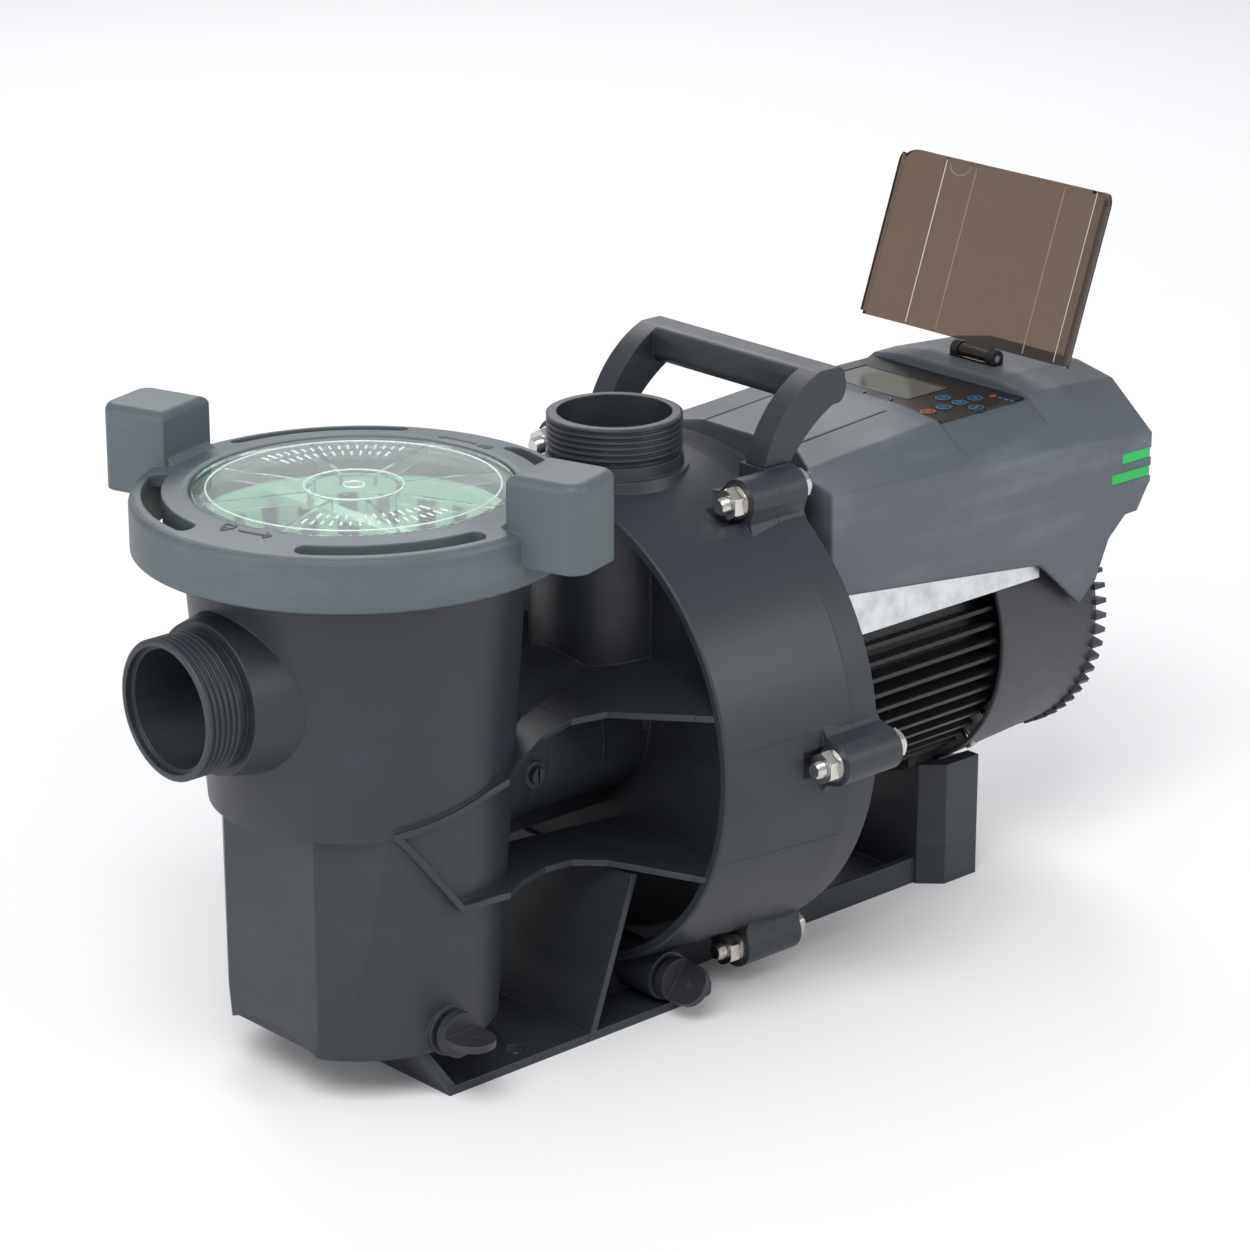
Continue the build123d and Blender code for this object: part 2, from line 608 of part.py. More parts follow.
def make_strainer_basket():
    """Tapered basket with rows of slots, a side inlet window and a moulded grip."""
    w = BASKET_WALL
    height = BASKET_TOP_Z - BASKET_FLOOR_Z
    basket = spin_z([
        (0, BASKET_FLOOR_Z), (BASKET_FLOOR_R, BASKET_FLOOR_Z), (BASKET_R - 4, BASKET_TOP_Z - 4),
        (BASKET_R, BASKET_TOP_Z - 4), (BASKET_R, BASKET_TOP_Z), (BASKET_R - 4 - w, BASKET_TOP_Z),
        (BASKET_FLOOR_R - w, BASKET_FLOOR_Z + w), (0, BASKET_FLOOR_Z + w)])
    row = (height - 16) / BASKET_ROWS
    cuts = []
    for k in range(BASKET_ROWS):
        z0 = BASKET_FLOOR_Z + 8 + k * row
        z1 = z0 + row - BASKET_RIB
        for i in range(BASKET_COLUMNS):
            r = BASKET_FLOOR_R + (z1 - BASKET_FLOOR_Z) / height * (BASKET_R - BASKET_FLOOR_R)
            half = pi * BASKET_FLOOR_R / BASKET_COLUMNS - BASKET_RIB / 2
            cuts.append(about_pot(box(POT_X + 40, POT_X + r + 6, -half, half, z0, z1),
                                  360 / BASKET_COLUMNS * i))
    for i in range(8):
        cuts.append(about_pot(box(POT_X + 14, POT_X + BASKET_FLOOR_R - 8, -3, 3, BASKET_FLOOR_Z - 1,
                                  BASKET_FLOOR_Z + w + 1), 45 * i))
    basket -= Compound(cuts)
    basket -= rod_x(PORT_BORE_R + 3, POT_X - 100, POT_X - 20, 0, INLET_Z)
    collar = rod_x(PORT_BORE_R + 6, POT_X - 76, POT_X - 66, 0, INLET_Z) \
        - rod_x(PORT_BORE_R + 3, POT_X - 90, POT_X - 50, 0, INLET_Z)
    basket += collar & spin_z([(0, BASKET_FLOOR_Z), (BASKET_FLOOR_R, BASKET_FLOOR_Z),
                               (BASKET_R - 4, BASKET_TOP_Z - 4), (0, BASKET_TOP_Z - 4)])
    grip = box(POT_X - 5, POT_X + 5, -BASKET_R + 4, BASKET_R - 4, BASKET_TOP_Z - 4, BASKET_TOP_Z)
    return basket + grip


# ---------------------------------------------------------------- drain plugs
def make_drain_plug(spot, turn):
    """Wing plug along -Y: shank, flanged head and a flat tab with a hole."""
    plug = rod_y(PLUG_SHANK_R - GAP, -PLUG_SEAL_D, PLUG_SHANK, 0, 0)
    plug += rod_y(PLUG_R, -PLUG_HEAD - PLUG_SEAL_D, -PLUG_SEAL_D, 0, 0)
    y0 = -PLUG_HEAD - PLUG_SEAL_D
    r, half = PLUG_R - 0.5, PLUG_TAB_THICK / 2
    tab = box(-r, r, y0 - PLUG_TAB + PLUG_R, y0 + 1, -half, half)
    tab += rod_z(r, -half, half, 0, y0 - PLUG_TAB + PLUG_R)
    tab &= box(-20, 20, y0 - 40, y0 + 1, -5, 5)
    tab -= rod_z(2.0, -5, 5, 0, y0 - PLUG_TAB / 2)
    x, y, z = spot
    return Pos(x, y, z) * Rot(0, turn, 0) * (plug + tab)


def make_drain_seal(spot):
    """O-ring in the recess between a plug's head and its boss, round the shank."""
    x, y, z = spot
    d = PLUG_SEAL_D - 2 * FIT
    return Pos(x, y - PLUG_SEAL_D / 2, z) * Rot(90, 0, 0) * Torus(PLUG_SHANK_R + d / 2 + FIT, d / 2)


# ---------------------------------------------------------------- seal plate and hydraulics
def make_seal_plate():
    """Flange plate behind the drum: rim, web, seal hub and motor spigot."""
    hub_r = BEARING_R + 6
    plate = spin_x([
        (JOINT_X, 0), (JOINT_X, FLANGE_R), (SEAL_PLATE_X1 - 1.5, FLANGE_R),
        (SEAL_PLATE_X1, FLANGE_R - 1.5), (SEAL_PLATE_X1, FLANGE_R - 9), (JOINT_X + SEAL_PLATE_WEB, FLANGE_R - 12),
        (JOINT_X + SEAL_PLATE_WEB, FRAME_TUBE_R + 2), (FRAME_X0 - END_SHIELD, FRAME_TUBE_R),
        (FRAME_X0 - END_SHIELD, FRAME_TUBE_R - 10), (JOINT_X + SEAL_PLATE_WEB, FRAME_TUBE_R - 12),
        (JOINT_X + SEAL_PLATE_WEB, hub_r), (FRAME_X0 - END_SHIELD - 4, hub_r), (FRAME_X0 - END_SHIELD - 4, 0)])
    spigot = tube_x(DRUM_BORE_R - GAP, DRUM_BORE_R - 12, JOINT_X - 10, JOINT_X + 1)
    plate += spigot
    for i in range(12):
        top = SHAFT_Z + FLANGE_R - 10
        rib = plate_y([(JOINT_X + 6, SHAFT_Z + 60), (FRAME_X0 - END_SHIELD - 4, SHAFT_Z + 68),
                       (SEAL_PLATE_X1 - 4, top), (JOINT_X + 6, top)], -1.8, 1.8)
        plate += about_shaft(rib, 30 * i + 15)
    plate += flange_ears(JOINT_X, SEAL_PLATE_X1)
    for s in (-1, 1):
        y0, y1 = sorted((s * (HANDLE_HALF - HANDLE_ARM - 3), s * (HANDLE_HALF + 2)))
        plate += box(JOINT_X + 0.5, SEAL_PLATE_X1, y0, y1, SHAFT_Z + 105, HANDLE_PAD_Z)
    plate -= rod_x(SEAL_R, JOINT_X - 20, JOINT_X + 12)
    plate -= rod_x(SHAFT_R + 4, JOINT_X - 20, FRAME_X0)
    plate -= bolt_holes(JOINT_X - 1, SEAL_PLATE_X1 + 1, BOLT_R + 0.4)
    for y, z in motor_bolt_spots():
        plate -= rod_x(4.3, JOINT_X + 1, FRAME_X0, y, z)
        plate -= rod_x(7.5, JOINT_X - 1, JOINT_X + 4, y, z)
    return plate


def motor_bolt_spots():
    for i in range(4):
        a = radians(45 + 90 * i)
        yield MOTOR_BOLT_R * cos(a), SHAFT_Z + MOTOR_BOLT_R * sin(a)


def make_seal_seat():
    """Stationary ring of the mechanical seal, with its rubber cup."""
    return tube_x(SEAL_R, SHAFT_R + 1.0, JOINT_X + 1, JOINT_X + 10)


def make_seal_head():
    """Rotating ring of the mechanical seal, on the shaft in front of the seat."""
    return tube_x(SEAL_R - 3, SHAFT_R + FIT, JOINT_X - 6, JOINT_X + 1 - FIT)


def make_seal_spring():
    """Seal spring: a coil of three turns between the impeller and the seal head."""
    x0, x1 = IMPELLER_X1 + 3.4, JOINT_X - 6.4
    path = Pos(x0 + 0.8, 0, SHAFT_Z) * Rot(0, 90, 0) * Helix((x1 - x0 - 1.6) / 3, x1 - x0 - 1.6, 13.5)
    profile = Plane(path @ 0, z_dir=path % 0) * Circle(0.8)
    return sweep(profile, path=path)


def make_diffuser():
    """Diffuser cup round the impeller: inlet snout, front wall, guide vanes and rim."""
    x0, x1, w = DIFFUSER_X0, DIFFUSER_X1, DIFFUSER_WALL
    snout = DUCT_BORE_R - 1.5
    shell = spin_x([(x0 - 11, snout - w), (x0 - 11, snout), (x0, snout), (x0 + 3, DIFFUSER_R - 8),
                    (x0 + 11, DIFFUSER_R), (x1, DIFFUSER_R), (x1, DIFFUSER_R - w), (x0 + 12, DIFFUSER_R - w),
                    (x0 + 5 + w, DIFFUSER_R - 8 - w), (x0 + w, snout), (x0 + w, snout - w)])
    vanes = []
    for i in range(9):
        vane = box(x0 + 6, x1 - 2, -1.4, 1.4, SHAFT_Z + IMPELLER_R + 5, SHAFT_Z + DIFFUSER_R - 1)
        vane = Pos(0, 0, SHAFT_Z + 84) * Rot(38, 0, 0) * Pos(0, 0, -SHAFT_Z - 84) * vane
        vanes.append(about_shaft(vane, 40 * i))
    body = shell
    for vane in vanes:
        body += vane & rod_x(DIFFUSER_R - 1, x0, x1)
    groove = DUCT_BORE_R - DIFFUSER_SEAL_D - 2 * FIT
    body -= tube_x(DUCT_BORE_R, groove, x0 - 7 - DIFFUSER_SEAL_D * 0.6, x0 - 7 + DIFFUSER_SEAL_D * 0.6)
    for i in range(6):
        port = rod_x(9, x1 - 17, x1 + 1, 0, SHAFT_Z + DIFFUSER_R)
        body -= about_shaft(port, 60 * i + 10)
    return body


def make_impeller():
    """Closed impeller: back shroud with hub, curved vanes and a front shroud with the eye."""
    x0, x1 = IMPELLER_X0, IMPELLER_X1
    back = spin_x([(x1 - 3, 0), (x1 - 3, IMPELLER_R), (x1, IMPELLER_R), (x1, 16), (x1 + 3, 15), (x1 + 3, 0)])
    hub = rod_x(13, x0 + 4, x1)
    front = spin_x([(x0 - 4, IMPELLER_EYE_R), (x0 - 4, IMPELLER_EYE_R + 3), (x0 + 1, IMPELLER_EYE_R + 4),
                    (x0 + 6, IMPELLER_R), (x0 + 9, IMPELLER_R), (x0 + 4, IMPELLER_EYE_R + 2)])
    impeller = back + hub + front
    for i in range(IMPELLER_VANES):
        a0 = 360 / IMPELLER_VANES * i
        pts = [(r * cos(radians(a0 + t)), r * sin(radians(a0 + t)))
               for r, t in ((12, 0), (26, 16), (42, 42), (58, 78), (61.5, 84))]
        outer = [(r * cos(radians(a0 + t)), r * sin(radians(a0 + t)))
                 for r, t in ((61.5, 80), (58, 74), (42, 37), (26, 8), (12, -10))]
        vane = plate_x([(y, SHAFT_Z + z) for y, z in pts + outer], x0 + 5, x1 - 2)
        impeller += vane & spin_x([(x0 + 3, 0), (x0 + 3, IMPELLER_EYE_R), (x0 + 8, IMPELLER_R), (x1, IMPELLER_R),
                                   (x1, 0)])
    impeller -= rod_x(SHAFT_NOSE_R + FIT, x0 + 4 + 3, x1 + 10)
    impeller -= rod_x(4.3, x0 - 10, x1)
    return impeller


def make_impeller_screw():
    """Screw in the shaft's nose that holds the impeller."""
    x = IMPELLER_X0 + 4
    head = Pos(x - 3, 0, SHAFT_Z) * Rot(0, 90, 0) * extrude(RegularPolygon(7, 6), 3)
    return head + rod_x(4.0, x, x + 24)


# ---------------------------------------------------------------- fasteners
def hex_x(flats, x0, x1):
    """Hexagonal prism along the shaft's direction, centred on it."""
    return Pos(x0, 0, SHAFT_Z) * Rot(0, 90, 0) * extrude(RegularPolygon(flats / 2, 6, major_radius=False), x1 - x0)


def on_bolt(shape, y, z):
    return Pos(0, y, z - SHAFT_Z) * shape


def make_flange_bolts():
    x0 = JOINT_X - EAR_LENGTH - WASHER - NUT - BOLT_TAIL
    x1 = SEAL_PLATE_X1 + WASHER
    bolt = rod_x(BOLT_R, x0, x1) + hex_x(NUT_FLATS, x1, x1 + 6.4)
    return Compound([on_bolt(bolt, y, z) for y, z, a in bolt_spots()])


def make_flange_washers():
    x0, x1 = JOINT_X - EAR_LENGTH - WASHER, SEAL_PLATE_X1
    rings = [tube_x(NUT_FLATS * 0.6, BOLT_R + 0.02, x, x + WASHER) for x in (x0, x1)]
    return Compound([on_bolt(ring, y, z) for y, z, a in bolt_spots() for ring in rings])


def make_flange_nuts():
    x1 = JOINT_X - EAR_LENGTH - WASHER
    nut = hex_x(NUT_FLATS, x1 - NUT, x1) - rod_x(BOLT_R + 0.02, x1 - NUT - 1, x1 + 1)
    crown = spin_x([(x1 - NUT, 0), (x1 - NUT, NUT_FLATS * 0.48), (x1 - NUT + 1.6, NUT_FLATS * 0.6),
                    (x1, NUT_FLATS * 0.6), (x1, 0)])
    return Compound([on_bolt(nut & crown, y, z) for y, z, a in bolt_spots()])


def make_motor_bolts():
    """Screws from the seal plate into the motor's front end shield."""
    bolt = rod_x(4.0, JOINT_X + 1, FRAME_X0 - 4) + rod_x(6.5, JOINT_X - 0.5, JOINT_X + 3.9)
    return Compound([on_bolt(bolt, y, z) for y, z in motor_bolt_spots()])


# ---------------------------------------------------------------- handle
def make_carry_handle():
    """Carrying handle: a bar across the pump that turns down into two curved arms."""
    z0, x, z = HANDLE_PAD_Z, HANDLE_X, HANDLE_Z
    reach, rise = HANDLE_BAR_X / 2, HANDLE_BAR_Z / 2
    rear = Spline((x - 29, z0), (x - 20, z0 + 10), (x - 6, z0 + 21), (x + reach - 1, z - rise + 3))
    crown = ThreePointArc((x + reach - 1, z - rise + 3), (x + reach, z + 4), (x + reach - 8, z + rise))
    front = Spline((x - 7, z + rise), (x - 24, z + 1), (x - 38, z0 + 23), (x - 49, z0))
    side = make_face(Plane.XZ * (rear + crown + Line(crown @ 1, front @ 0) + front + Line(front @ 1, rear @ 0)))
    arm = Pos(0, HANDLE_HALF, 0) * extrude(side, amount=HANDLE_ARM, dir=(0, -1, 0))
    bar = box(x - reach, x + reach, -HANDLE_HALF, HANDLE_HALF, z - rise, z + rise)
    bar = fillet(bar.edges().filter_by(Axis.Y), 6.0)
    return bar + arm + mirror_y(arm)


# ---------------------------------------------------------------- motor
def make_shaft():
    shaft = rod_x(SHAFT_NOSE_R, IMPELLER_X0 + 7.1, IMPELLER_X1 + 3) + rod_x(SHAFT_R, IMPELLER_X1 + 3, SHAFT_X1)
    return shaft - rod_x(4.0, IMPELLER_X0, IMPELLER_X0 + 30)


def bearing_spots():
    """Front end of each bearing along the shaft."""
    return FRAME_X0 - END_SHIELD + 2, FRAME_X1 + 2


def make_bearing_outer_rings():
    inner = BEARING_R - 4.2
    return Compound([tube_x(BEARING_R, inner, x, x + BEARING_W) for x in bearing_spots()])


def make_bearing_inner_rings():
    return Compound([tube_x(SHAFT_R + 3.4, SHAFT_R + FIT / 2, x, x + BEARING_W) for x in bearing_spots()])


def make_bearing_balls():
    mid = (BEARING_R - 4.2 + SHAFT_R + 3.4) / 2
    balls = []
    for x in bearing_spots():
        for i in range(BEARING_BALLS):
            a = 2 * pi / BEARING_BALLS * i
            balls.append(Pos(x + BEARING_W / 2, mid * cos(a), SHAFT_Z + mid * sin(a)) * Sphere(BALL_R))
    return Compound(balls)


def make_motor_frame():
    """Extruded frame with axial cooling fins and a flat top seat for the heat sink."""
    fins = Circle(FRAME_TUBE_R)
    for i in range(FIN_COUNT):
        fin = Pos(FRAME_TUBE_R + 4, 0) * Rectangle(2 * (FRAME_R - FRAME_TUBE_R - 4), FIN)
        fins += Rot(0, 0, 360 / FIN_COUNT * i) * fin
    solid = Pos(FRAME_X0, 0, SHAFT_Z) * Rot(0, 90, 0) * extrude(fins, FRAME_X1 - FRAME_X0)
    solid -= rod_x(FRAME_BORE_R, FRAME_X0 - 1, FRAME_X1 + 1)
    solid &= box(0, 400, -200, 200, 0, SHAFT_Z + FRAME_TUBE_R + 4)
    return solid


def make_end_shield(x0, x1, bearing_x, open_front):
    """Bearing housing that closes one end of the motor frame."""
    shield = rod_x(FRAME_TUBE_R, x0, x1)
    shield += rod_x(BEARING_R + 6, min(x0, bearing_x - 2), max(x1, bearing_x + BEARING_W + 2))
    shield -= rod_x(BEARING_R, bearing_x, bearing_x + BEARING_W)
    shield -= rod_x(BEARING_R - 3.5, x0 - 20, x1 + 20)
    if open_front:
        for y, z in motor_bolt_spots():
            shield -= rod_x(4.0, x0 - 1, x1 - 4, y, z)
    return shield


def make_stator_core():
    core = tube_x(STATOR_R, STATOR_BORE_R, STATOR_X0, STATOR_X1)
    slots = None
    for i in range(24):
        slot = box(STATOR_X0 - 1, STATOR_X1 + 1, -2.6, 2.6, SHAFT_Z + STATOR_BORE_R + 2, SHAFT_Z + 54)
        slot = about_shaft(slot, 15 * i)
        slots = slot if slots is None else slots + slot
    return core - slots


def make_stator_windings():
    ends = [spin_x([(x0, 41), (x0, 56), (x0 + 4, 59), (x1 - 4, 59), (x1, 56), (x1, 41)])
            for x0, x1 in ((STATOR_X0 - WINDING, STATOR_X0), (STATOR_X1, STATOR_X1 + WINDING))]
    return Compound(ends)


def make_rotor_core():
    r = STATOR_BORE_R - AIR_GAP
    return tube_x(r, SHAFT_R + FIT / 2, STATOR_X0 + 1, STATOR_X1 - 1)


def make_cooling_fan():
    fan = rod_x(15, FAN_X0, FAN_X1 - 3) + rod_x(FAN_R, FAN_X0, FAN_X0 + 2.4)
    for i in range(FAN_BLADES):
        blade = box(FAN_X0 + 1, FAN_X1 - 1, -1.2, 1.2, SHAFT_Z + 13, SHAFT_Z + FAN_R - 1)
        fan += about_shaft(blade, 360 / FAN_BLADES * i)
    return fan - rod_x(SHAFT_R + FIT / 2, FAN_X0 - 1, FAN_X1 + 1)


def fan_cover_r(x):
    share = (x - COVER_X0) / (COVER_X1 - COVER_X0)
    return COVER_R0 + share * (COVER_R1 - COVER_R0)


def make_fan_cover():
    """Fan cover with a radial grille whose bars end as teeth round the rear edge."""
    x0, x1, w = COVER_X0, COVER_X1, COVER_WALL
    back = x1 - GRILLE_DEPTH
    cover = spin_x([(x0, COVER_R0 - w), (x0, COVER_R0 - 0.6), (x0 + 0.8, COVER_R0), (back, fan_cover_r(back)),
                    (x1 - 3, fan_cover_r(back) - 3), (x1 - 3, fan_cover_r(back) - 7), (back, fan_cover_r(back) - w)])
    cover += tube_x(30, 24, back + 3, x1 - 2) + rod_x(26, x1 - 5, x1 - 2)
    cover += tube_x(58, 55, back + 3, x1 - 2)
    bar = box(back, x1, -1.4, 1.4, SHAFT_Z + fan_cover_r(back) - 6, SHAFT_Z + GRILLE_R)
    slim = box(back + 3, x1 - 2, -1.4, 1.4, SHAFT_Z + 27, SHAFT_Z + fan_cover_r(back) - 2)
    teeth = [about_shaft(bar, 360 / GRILLE_BARS * i) for i in range(GRILLE_BARS)]
    spokes = [about_shaft(slim, 360 / (GRILLE_BARS / 2) * i) for i in range(GRILLE_BARS // 2)]
    cover = cover.fuse(*teeth, *spokes)
    for a in COVER_SCREW_ANGLES:
        cover -= about_shaft(fan_cover_screw(), a - 90)
    return cover


def fan_cover_screw():
    head_z = SHAFT_Z + COVER_R0 - 0.6
    return rod_z(3.6, head_z - 1.0, head_z + 1.6, COVER_X0 + 9) + rod_z(2.0, head_z - 8, head_z, COVER_X0 + 9)


def make_fan_cover_screws():
    return Compound([about_shaft(fan_cover_screw(), a - 90) for a in COVER_SCREW_ANGLES])


# ---------------------------------------------------------------- base
def make_base():
    """Moulded base: front plate with braces, two rails and the motor pedestal."""
    plate = box(BASE_X0, BASE_X1 - 12, -BASE_HALF, BASE_HALF, 0, BASE)
    plate += box(BASE_X0, BASE_X1, -BASE_HALF + 12, BASE_HALF - 12, 0, BASE)
    for s in (-1, 1):
        plate += rod_z(12, 0, BASE, BASE_X1 - 12, s * (BASE_HALF - 12))
    channel = box(BASE_X1 - 20, PEDESTAL_X0 + 4, -RAIL_HALF, RAIL_HALF, 0, BASE)
    for s in (-1, 1):
        y0, y1 = sorted((s * (RAIL_HALF - RAIL), s * RAIL_HALF))
        channel += box(BASE_X1 - 70, PEDESTAL_X0 + 4, y0, y1, 0, RAIL_H)
    half, cut = PEDESTAL_HALF, PEDESTAL_CHAMFER
    post = plate_z([(PEDESTAL_X0, -half + cut), (PEDESTAL_X0 + cut, -half), (PEDESTAL_X1, -half),
                    (PEDESTAL_X1, half), (PEDESTAL_X0 + cut, half), (PEDESTAL_X0, half - cut)], 0, PEDESTAL_Z)
    post -= rod_x(COVER_R0 + 1.0, COVER_X0 - 1, PEDESTAL_X1 + 10)
    post -= rod_x(FRAME_R + PAD, PEDESTAL_X0 - 10, COVER_X0 - 0.5)
    post -= box(PEDESTAL_X0 + cut, PEDESTAL_X1 + 1, -half + RAIL, half - RAIL, -1, PEDESTAL_Z - PEDESTAL_ROOF)
    channel -= rod_x(FLANGE_R + GAP, 0, SEAL_PLATE_X1 + 1)
    channel -= drain_clearance(VOLUTE_DRAIN)
    base = plate + channel + post
    base += front_braces()
    for x in BASE_HOLES_X:
        for s in (-1, 1):
            base -= rod_z(BASE_HOLE_R, -1, BASE + 1, x, s * BASE_HOLES_HALF)
    return base


def drain_clearance(spot):
    x, y, z = spot
    return rod_y(PLUG_R + 1.5 + GAP, y - 40, y + 61, x, z)


def front_braces():
    """Slanted brace under the pot, upright brace under the duct, and a seat under the drum."""
    slant = plate_y([(BASE_X0 - 44, 74), (BASE_X0 - 40, 74), (BASE_X0 + 8, 0), (BASE_X0 + 2, 0)],
                    -BASE_HALF, BASE_HALF)
    slant &= plate_x([(-BASE_HALF, 0), (-57, 76), (57, 76), (BASE_HALF, 0)], BASE_X0 - 60, BASE_X1)
    slant -= pot_outer() + drain_clearance(POT_DRAIN)
    top = SHAFT_Z - 60
    lift = plate_y([(POT_X + 95, 0), (POT_X + 99.5, 0), (POT_X + 122, top), (POT_X + 118, top)], -88, 88)
    lift &= plate_x([(-BASE_HALF, 0), (-86, top + 3), (86, top + 3), (BASE_HALF, 0)], POT_X, 0)
    lift -= rod_x(DUCT_R + GAP, POT_X, 0)
    seat_z = SHAFT_Z - DRUM_FRONT_R + 12
    seat = box(-45, -4, -44, 44, 0, seat_z) - box(-40, -9, -39, 39, -1, seat_z + 1)
    seat -= drain_clearance(VOLUTE_DRAIN)
    clear = DRUM_FRONT_R + GAP
    drum = spin_x([(DRUM_FRONT_X - GAP, 0), (DRUM_FRONT_X - GAP, clear), (JOINT_X, FLANGE_R + GAP), (JOINT_X, 0)])
    return slant + lift + seat - drum


def make_saddle_pad():
    """Rubber pad between the pedestal and the motor frame."""
    pad = tube_x(FRAME_R + PAD - 0.1, FRAME_R + 0.1, PAD_X0, PAD_X1)
    return pad & box(PAD_X0 - 1, PAD_X1 + 1, -PAD_HALF, PAD_HALF, 0, SHAFT_Z)


# ---------------------------------------------------------------- inverter drive
def drive_section(station, inset):
    """Half-hexagonal section of the drive housing at one station, drawn in by an inset."""
    x, half, crest, shoulder, ridge = station
    low = -6.0
    pts = [(half - inset, low), (half - inset, crest - 0.55 * inset),
           (DRIVE_SHOULDER - 0.4 * inset, shoulder - inset), (DRIVE_RIDGE, ridge - inset)]
    ring = pts + [(-y, z) for y, z in reversed(pts)]
    return make_face(Polyline(*[(x, y, SHAFT_Z + z) for y, z in ring], close=True))


def drive_block(inset):
    """Solid of the drive housing's outside, or of its inside when drawn in by the wall."""
    first, last = DRIVE_STATIONS[0], DRIVE_STATIONS[-1]
    stations = [(first[0] + inset,) + first[1:]] + DRIVE_STATIONS[1:-1] + [(last[0] - inset,) + last[1:]]
    block = loft([drive_section(s, inset) for s in stations], ruled=True)
    if inset == 0:
        front, rear, low = first[0] - 5, last[0] + 5, -56.0
        under = [(front, low), (front, DRIVE_SKIRT[0][1])] + DRIVE_SKIRT + DRIVE_TAIL + [(rear, 84.0), (rear, low)]
        block -= plate_y([(x, SHAFT_Z + z) for x, z in under], -120, 120)
    return block - notch(inset)


def notch(inset):
    """Hand room cut into the top front edge, behind the carrying handle."""
    x0, x1 = DRIVE_STATIONS[0][0] - 1, NOTCH_X + inset
    half, run = NOTCH_HALF, NOTCH_RUN
    pts = [(x0, -half - run - inset), (x0 + 8, -half - run + 2 - inset), (x1 - 4, -half - 2 - inset),
           (x1, -half + 6 - inset)]
    outline = pts + [(x, -y) for x, y in reversed(pts)]
    return plate_z(outline, NOTCH_FLOOR_Z - inset, NOTCH_FLOOR_Z + 58)


def recess(inset):
    """Control panel bay: a flat floor with sloping wing seats at both sides."""
    x0, x1 = RECESS_X0 - inset, RECESS_X1 + inset
    drop = (WING_HALF - RECESS_HALF) * tan(radians(WING_SLOPE))
    z = RECESS_Z - inset
    half = WING_HALF + inset
    sky = RECESS_Z + 38.5
    outline = [(-half, z - drop), (-RECESS_HALF, z), (RECESS_HALF, z), (half, z - drop), (half, sky), (-half, sky)]
    return plate_x(outline, x0, x1)


def accent_slots(grow):
    """The two slots for the coloured insert, wrapped round the rear corners."""
    slots = None
    for x0, z0, z1 in ACCENT_SLOTS:
        slot = box(x0 - grow, 360, -120, 120, SHAFT_Z + z0 - grow, SHAFT_Z + z1 + grow)
        slots = slot if slots is None else slots + slot
    return slots - box(300, 345, -ACCENT_HALF, ACCENT_HALF, SHAFT_Z + 74, SHAFT_Z + 104)


def make_drive_housing():
    shell = drive_block(0) - (drive_block(DRIVE_WALL) - recess(DRIVE_WALL))
    shell -= recess(0)
    shell -= accent_slots(0)
    shell -= rod_y(KNUCKLE_R + 1.6, -KNUCKLE_HALF - CLIP_EAR - 2, KNUCKLE_HALF + CLIP_EAR + 2, HINGE_X, HINGE_Z)
    shell -= rod_x(FRAME_TUBE_R + 1.0, DRIVE_STATIONS[0][0] - 1, FRAME_X0 + 20)
    for x, z, r in gland_spots():
        shell -= rod_y(r, 80, 100, x, z)
    for s in (-1, 1):
        line = [(NOTCH_X - 2, 134.6), (178, 141.0), (178, 143.5), (NOTCH_X - 2, 138.5)]
        y0 = s * DRIVE_RIDGE - RIDGE_LINE / 2
        shell -= plate_y([(x, SHAFT_Z + z) for x, z in line], y0, y0 + RIDGE_LINE)
    return shell


def make_accent_strip():
    """Green insert that fills the two rear slots from inside."""
    band = drive_block(DRIVE_WALL + 0.05) - drive_block(DRIVE_WALL + 2.2)
    (upper_x, _, top), (lower_x, low, _) = ACCENT_SLOTS
    band &= box(min(upper_x, lower_x) - 4.5, 360, -120, 120, SHAFT_Z + low - 2.0, SHAFT_Z + top + 1.9)
    bars = (drive_block(0.5) - drive_block(DRIVE_WALL + 0.6)) & accent_slots(-0.05)
    return band + bars


def make_heat_sink():
    """Aluminium block under the drive, hollowed over the motor, with a crown that rests on its frame."""
    sink = box(HEAT_SINK_X0, HEAT_SINK_X1, -HEAT_SINK_HALF, HEAT_SINK_HALF, HEAT_SINK_Z0, HEAT_SINK_Z1)
    sink -= rod_x(COVER_R0 + 1.0, HEAT_SINK_X0 - 1, HEAT_SINK_X1 + 1)
    crown = box(FRAME_X0, COVER_X0 - 1, -24, 24, SHAFT_Z + FRAME_TUBE_R + 4, HEAT_SINK_Z1)
    return sink + crown


def gland_spots():
    """X, Z and hole radius of the cable glands on the housing's far side."""
    return (112.0, SHAFT_Z + 88.0, 8.0), (142.0, SHAFT_Z + 86.0, 6.0)


def make_cable_glands():
    glands = []
    for x, z, r in gland_spots():
        y = 91.0
        shank = rod_y(r, y - 4, y + 4, x, z)
        hexagon = Pos(x, y + 4, z) * Rot(-90, 0, 0) * extrude(RegularPolygon(r + 3, 6), 5)
        nut = Pos(x, y + 13, z) * Rot(-90, 0, 0) * Cone(r + 2.4, r, 9)
        glands.append(shank + hexagon + nut - rod_y(r - 3.5, y - 6, y + 30, x, z))
    return Compound(glands)


